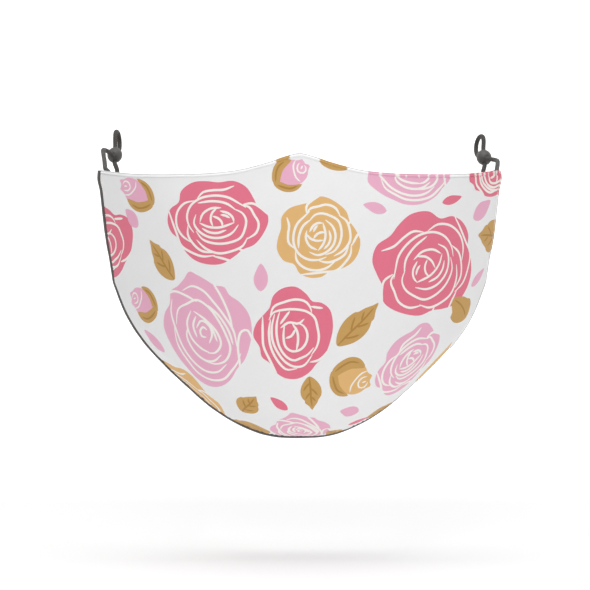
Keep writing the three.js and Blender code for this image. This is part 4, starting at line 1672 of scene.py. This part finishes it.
    def build_channel(self) -> bpy.types.Object:
        """Builds the strip of cloth that holds the cord against the lining."""
        profile = self._section()
        centres, across, inward = self._strip()
        points = centres[:, None] + across[:, None] * profile[None, :, :1]
        points = (points + inward[:, None] * profile[None, :, 1:]).reshape(-1, 3)
        along = np.linspace(0, self.channel_length, self.CHANNEL_ROWS)
        cloth = np.stack(np.broadcast_arrays(distances(profile)[None, :], along[:, None]), axis=-1)
        faces = ring_faces(self.CHANNEL_ROWS, len(profile))
        mesh = smooth_mesh(f"channel_{self.name}", points, faces, cloth.reshape(-1, 2) * MM)
        shape = bmesh.new()
        shape.from_mesh(mesh)
        bmesh.ops.recalc_face_normals(shape, faces=shape.faces)
        shape.to_mesh(mesh)
        shape.free()
        mesh.set_sharp_from_angle(angle=math.radians(50))
        piece = finished(mesh, f"channel_{self.name}", DARK_LINING.material())
        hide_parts(f"cord_channel_{self.name}")
        return piece


LEFT_LOOP = EarLoop(
    name="left",
    side=-1,
    bead=BeadPlace(out=83.4, back=58, up=-13.6, pitch=20, yaw=5, roll=8, tail=12.6),
    upper=(
        (84.2, -2.4, -15.6), (84.5, -0.9, -14.3), (85.4, 1.7, -13.7), (86.2, 5, -13.3), (86.5, 10, -12.8),
        (87, 20, -11.7), (87.8, 33, -10.2), (88.1, 43.5, -9.6), (86.4, 49.6, -10.9),
    ),
    lower=(
        (82.2, 50.2, -19.6), (81.9, 48.8, -27), (81.4, 45.6, -36), (80.7, 39.4, -46), (79.9, 29, -56),
        (79, 16, -64.2), (78, 6.4, -69.3), (77.5, 0.8, -69.7), (77.3, -1.5, -69.1), (77.1, -3, -67.5),
    ),
)

RIGHT_LOOP = EarLoop(
    name="right",
    side=1,
    bead=BeadPlace(out=83.4, back=58, up=-14.7, pitch=20, yaw=10, roll=14, tail=11.2),
    upper=(
        (84.1, -2.7, -15.9), (84.3, -1.1, -15), (85.4, 1.8, -14.9), (86.8, 5, -15), (87.6, 10, -14.9),
        (88.2, 20, -14.5), (88.8, 33, -14.5), (88.8, 43.5, -14.4), (87, 49.6, -14.6),
    ),
    lower=(
        (82.8, 50, -20.4), (82.1, 48.6, -27.6), (81.8, 45.6, -36.4), (80.9, 39.4, -46.2), (80, 29, -56.2),
        (79, 16, -64.4), (78, 6.4, -69.3), (77.5, 0.8, -69.7), (77.3, -1.5, -69.1), (77.1, -3, -67.5),
    ),
)


# Stitches


@dataclass
class StitchRow:
    """A row of thread stitches along a line, made by Geometry Nodes."""

    name: str
    pitch: float = 2.8
    length: float = 1.9
    thickness: float = 0.34

    def _tree(self, material: bpy.types.Material) -> bpy.types.GeometryNodeTree:
        """Builds the node tree, with its sizes as named inputs."""
        tree = bpy.data.node_groups.new(f"{self.name}_nodes", "GeometryNodeTree")
        tree.interface.new_socket("Geometry", in_out="INPUT", socket_type="NodeSocketGeometry")
        for label in ("Pitch", "Length", "Thickness"):
            tree.interface.new_socket(label, in_out="INPUT", socket_type="NodeSocketFloat")
        tree.interface.new_socket("Geometry", in_out="OUTPUT", socket_type="NodeSocketGeometry")
        nodes = tree.nodes
        start, end = nodes.new("NodeGroupInput"), nodes.new("NodeGroupOutput")
        curve = nodes.new("GeometryNodeMeshToCurve")
        spread = nodes.new("GeometryNodeCurveToPoints")
        spread.mode = "LENGTH"
        ball = nodes.new("GeometryNodeMeshUVSphere")
        for name, value in {"Segments": 6, "Rings": 6, "Radius": 0.5}.items():
            ball.inputs[name].default_value = value
        size = nodes.new("ShaderNodeCombineXYZ")
        put = nodes.new("GeometryNodeInstanceOnPoints")
        real = nodes.new("GeometryNodeRealizeInstances")
        dress = nodes.new("GeometryNodeSetMaterial")
        dress.inputs["Material"].default_value = material
        for giver, output, taker, target in (
            (start, "Geometry", curve, "Mesh"),
            (curve, "Curve", spread, "Curve"),
            (start, "Pitch", spread, "Length"),
            (start, "Thickness", size, "X"),
            (start, "Thickness", size, "Y"),
            (start, "Length", size, "Z"),
            (spread, "Points", put, "Points"),
            (spread, "Rotation", put, "Rotation"),
            (ball, "Mesh", put, "Instance"),
            (size, "Vector", put, "Scale"),
            (put, "Instances", real, "Geometry"),
            (real, "Geometry", dress, "Geometry"),
            (dress, "Geometry", end, "Geometry"),
        ):
            tree.links.new(giver.outputs[output], taker.inputs[target])
        return tree

    def build(self, line: Array, finish: PlainWeave, slot: str) -> bpy.types.Object:
        """Lays the stitches along a line.

        Args:
            line: Points along the row, in millimetres.
            finish: The thread's finish.
            slot: The name of a material slot; not used.

        Returns:
            The stitches, as one plain mesh.
        """
        material = finish.material()
        guide = bpy.data.meshes.new(f"{self.name}_line")
        guide.from_pydata((line * MM).tolist(), [(i, i + 1) for i in range(len(line) - 1)], [])
        holder = linked(f"{self.name}_line", guide)
        modifier = holder.modifiers.new("stitches", "NODES")
        modifier.node_group = self._tree(material)
        sizes = {"Pitch": self.pitch, "Length": self.length, "Thickness": self.thickness}
        for item in modifier.node_group.interface.items_tree:
            if item.in_out == "INPUT" and item.name in sizes:
                modifier[item.identifier] = sizes[item.name] * MM
        mesh = evaluated(holder)
        bpy.data.objects.remove(holder, do_unlink=True)
        for layer in list(mesh.uv_layers):
            mesh.uv_layers.remove(layer)
        places = np.empty(len(mesh.vertices) * 3, np.float32)
        mesh.vertices.foreach_get("co", places)
        lay_map(mesh, places.reshape(-1, 3)[corners_of(mesh)][:, [0, 2]])
        make_smooth(mesh)
        mesh.name = self.name
        piece = finished(mesh, self.name, material)
        return piece


# Stage


@dataclass
class Studio:
    """The camera, the lights, the floor and the backdrop."""

    distance: float = 3.0
    elevation: float = 8.0
    frame_width: float = 0.2622
    sensor: float = 36.0
    target: tuple[float, float, float] = (-0.002, 0.0, -0.0693)
    aim: tuple[float, float, float] = (0.0, 0.0, -0.07)
    surround: float = 0.57
    floor: float = -0.1805
    backdrop: float = 2.8
    bend: float = 0.6
    room: float = 4.0

    def camera(self) -> bpy.types.Object:
        """Places the camera at the photograph's angle."""
        data = bpy.data.cameras.new("camera")
        data.sensor_width = self.sensor
        data.lens = self.sensor * self.distance / self.frame_width
        data.clip_start, data.clip_end = 0.1, 50.0
        made = linked("camera", data)
        tilt = math.radians(self.elevation)
        away = Vector((0, -math.cos(tilt), math.sin(tilt)))
        made.location = Vector(self.target) + away * self.distance
        made.rotation_euler = (math.pi / 2 - tilt, 0, 0)
        bpy.context.scene.camera = made
        return made

    def _light(self, name: str, place: tuple[float, float, float], size: float, power: float) -> None:
        """Adds a square soft light that faces the mask."""
        data = bpy.data.lights.new(name, "AREA")
        data.shape, data.size, data.energy = "SQUARE", size, power
        made = linked(name, data)
        made.location = place
        made.rotation_euler = (Vector(self.aim) - Vector(place)).to_track_quat("-Z", "Y").to_euler()

    def lights(self) -> None:
        """Adds the lights and an even pale surround."""
        self._light("key_light", place=(-0.5, -1.6, 1.1), size=1.4, power=5.4)
        self._light("fill_light", place=(0.9, -1.5, 0.5), size=1.4, power=5.2)
        self._light("top_light", place=(0.0, -0.02, 0.62), size=0.5, power=2.6)
        world = bpy.data.worlds.new("surround")
        world.use_nodes = True
        shade = world.node_tree.nodes["Background"]
        shade.inputs["Color"].default_value = (1, 1, 1, 1)
        shade.inputs["Strength"].default_value = self.surround
        bpy.context.scene.world = world
        bpy.context.scene.view_settings.view_transform = "Standard"
        bpy.context.scene.view_settings.look = "None"

    def sweep(self) -> bpy.types.Object:
        """Builds the floor, which curves up into the backdrop."""
        start, bend = self.backdrop, self.bend
        profile = [(-self.room, 0.0), (start, 0.0)]
        profile += [
            (start + bend * math.sin(a), bend - bend * math.cos(a)) for a in np.linspace(0.1, math.pi / 2, 14)
        ]
        profile.append((start + bend, 3.0))
        points = [(x, y, self.floor + z) for y, z in profile for x in (-self.room, self.room)]
        faces = [(2 * i, 2 * i + 1, 2 * i + 3, 2 * i + 2) for i in range(len(profile) - 1)]
        mesh = bpy.data.meshes.new("studio_sweep")
        mesh.from_pydata(points, [], faces)
        make_smooth(mesh)
        graph = Graph("studio_white")
        graph.surface(Base_Color=(0.95, 0.95, 0.95, 1), Roughness=0.9, Specular_IOR_Level=0.0)
        depth = graph.node("ShaderNodeSeparateXYZ", None, {0: graph.place()}, 1)
        span = {"From Min": 0.1, "From Max": 0.5, "To Min": 0.0, "To Max": 0.6}
        glow = graph.node("ShaderNodeMapRange", None, {"Value": depth, **span})
        graph.surface(Emission_Color=glow, Emission_Strength=1.0)
        mesh.materials.append(graph.material)
        made = linked("studio_sweep", mesh)
        return made


def main() -> None:
    """Builds the mask piece by piece, and the studio round it."""
    logging.basicConfig(level=logging.INFO, format="%(name)s %(message)s")
    studio = Studio()
    studio.camera()
    loops = [LEFT_LOOP, RIGHT_LOOP]
    for loop in loops:
        cord, path = loop.build_cord()
        bead = loop.build_bead()
        loop.build_channel()
    outer, under, edges = PrintedPanel(), Lining(), RolledEdges()
    panel = outer.build()
    lining = under.build()
    edges.build(outer)
    hem = FORM.inside(*edges.light_line(under.hem_inset), under.depth + under.wall + STITCH_LIFT)
    StitchRow("hem_stitches").build(smooth_line(hem, step=0.8), DARK_THREAD, "lining_cloth")
    for loop in loops:
        for edge, across in (("outer", -1), ("inner", 1)):
            row = StitchRow(f"channel_stitches_{loop.name}_{edge}")
            row.build(loop.seam(across), DARK_THREAD, "lining_cloth")
    studio.lights()
    studio.sweep()


if __name__ == "__main__":
    main()
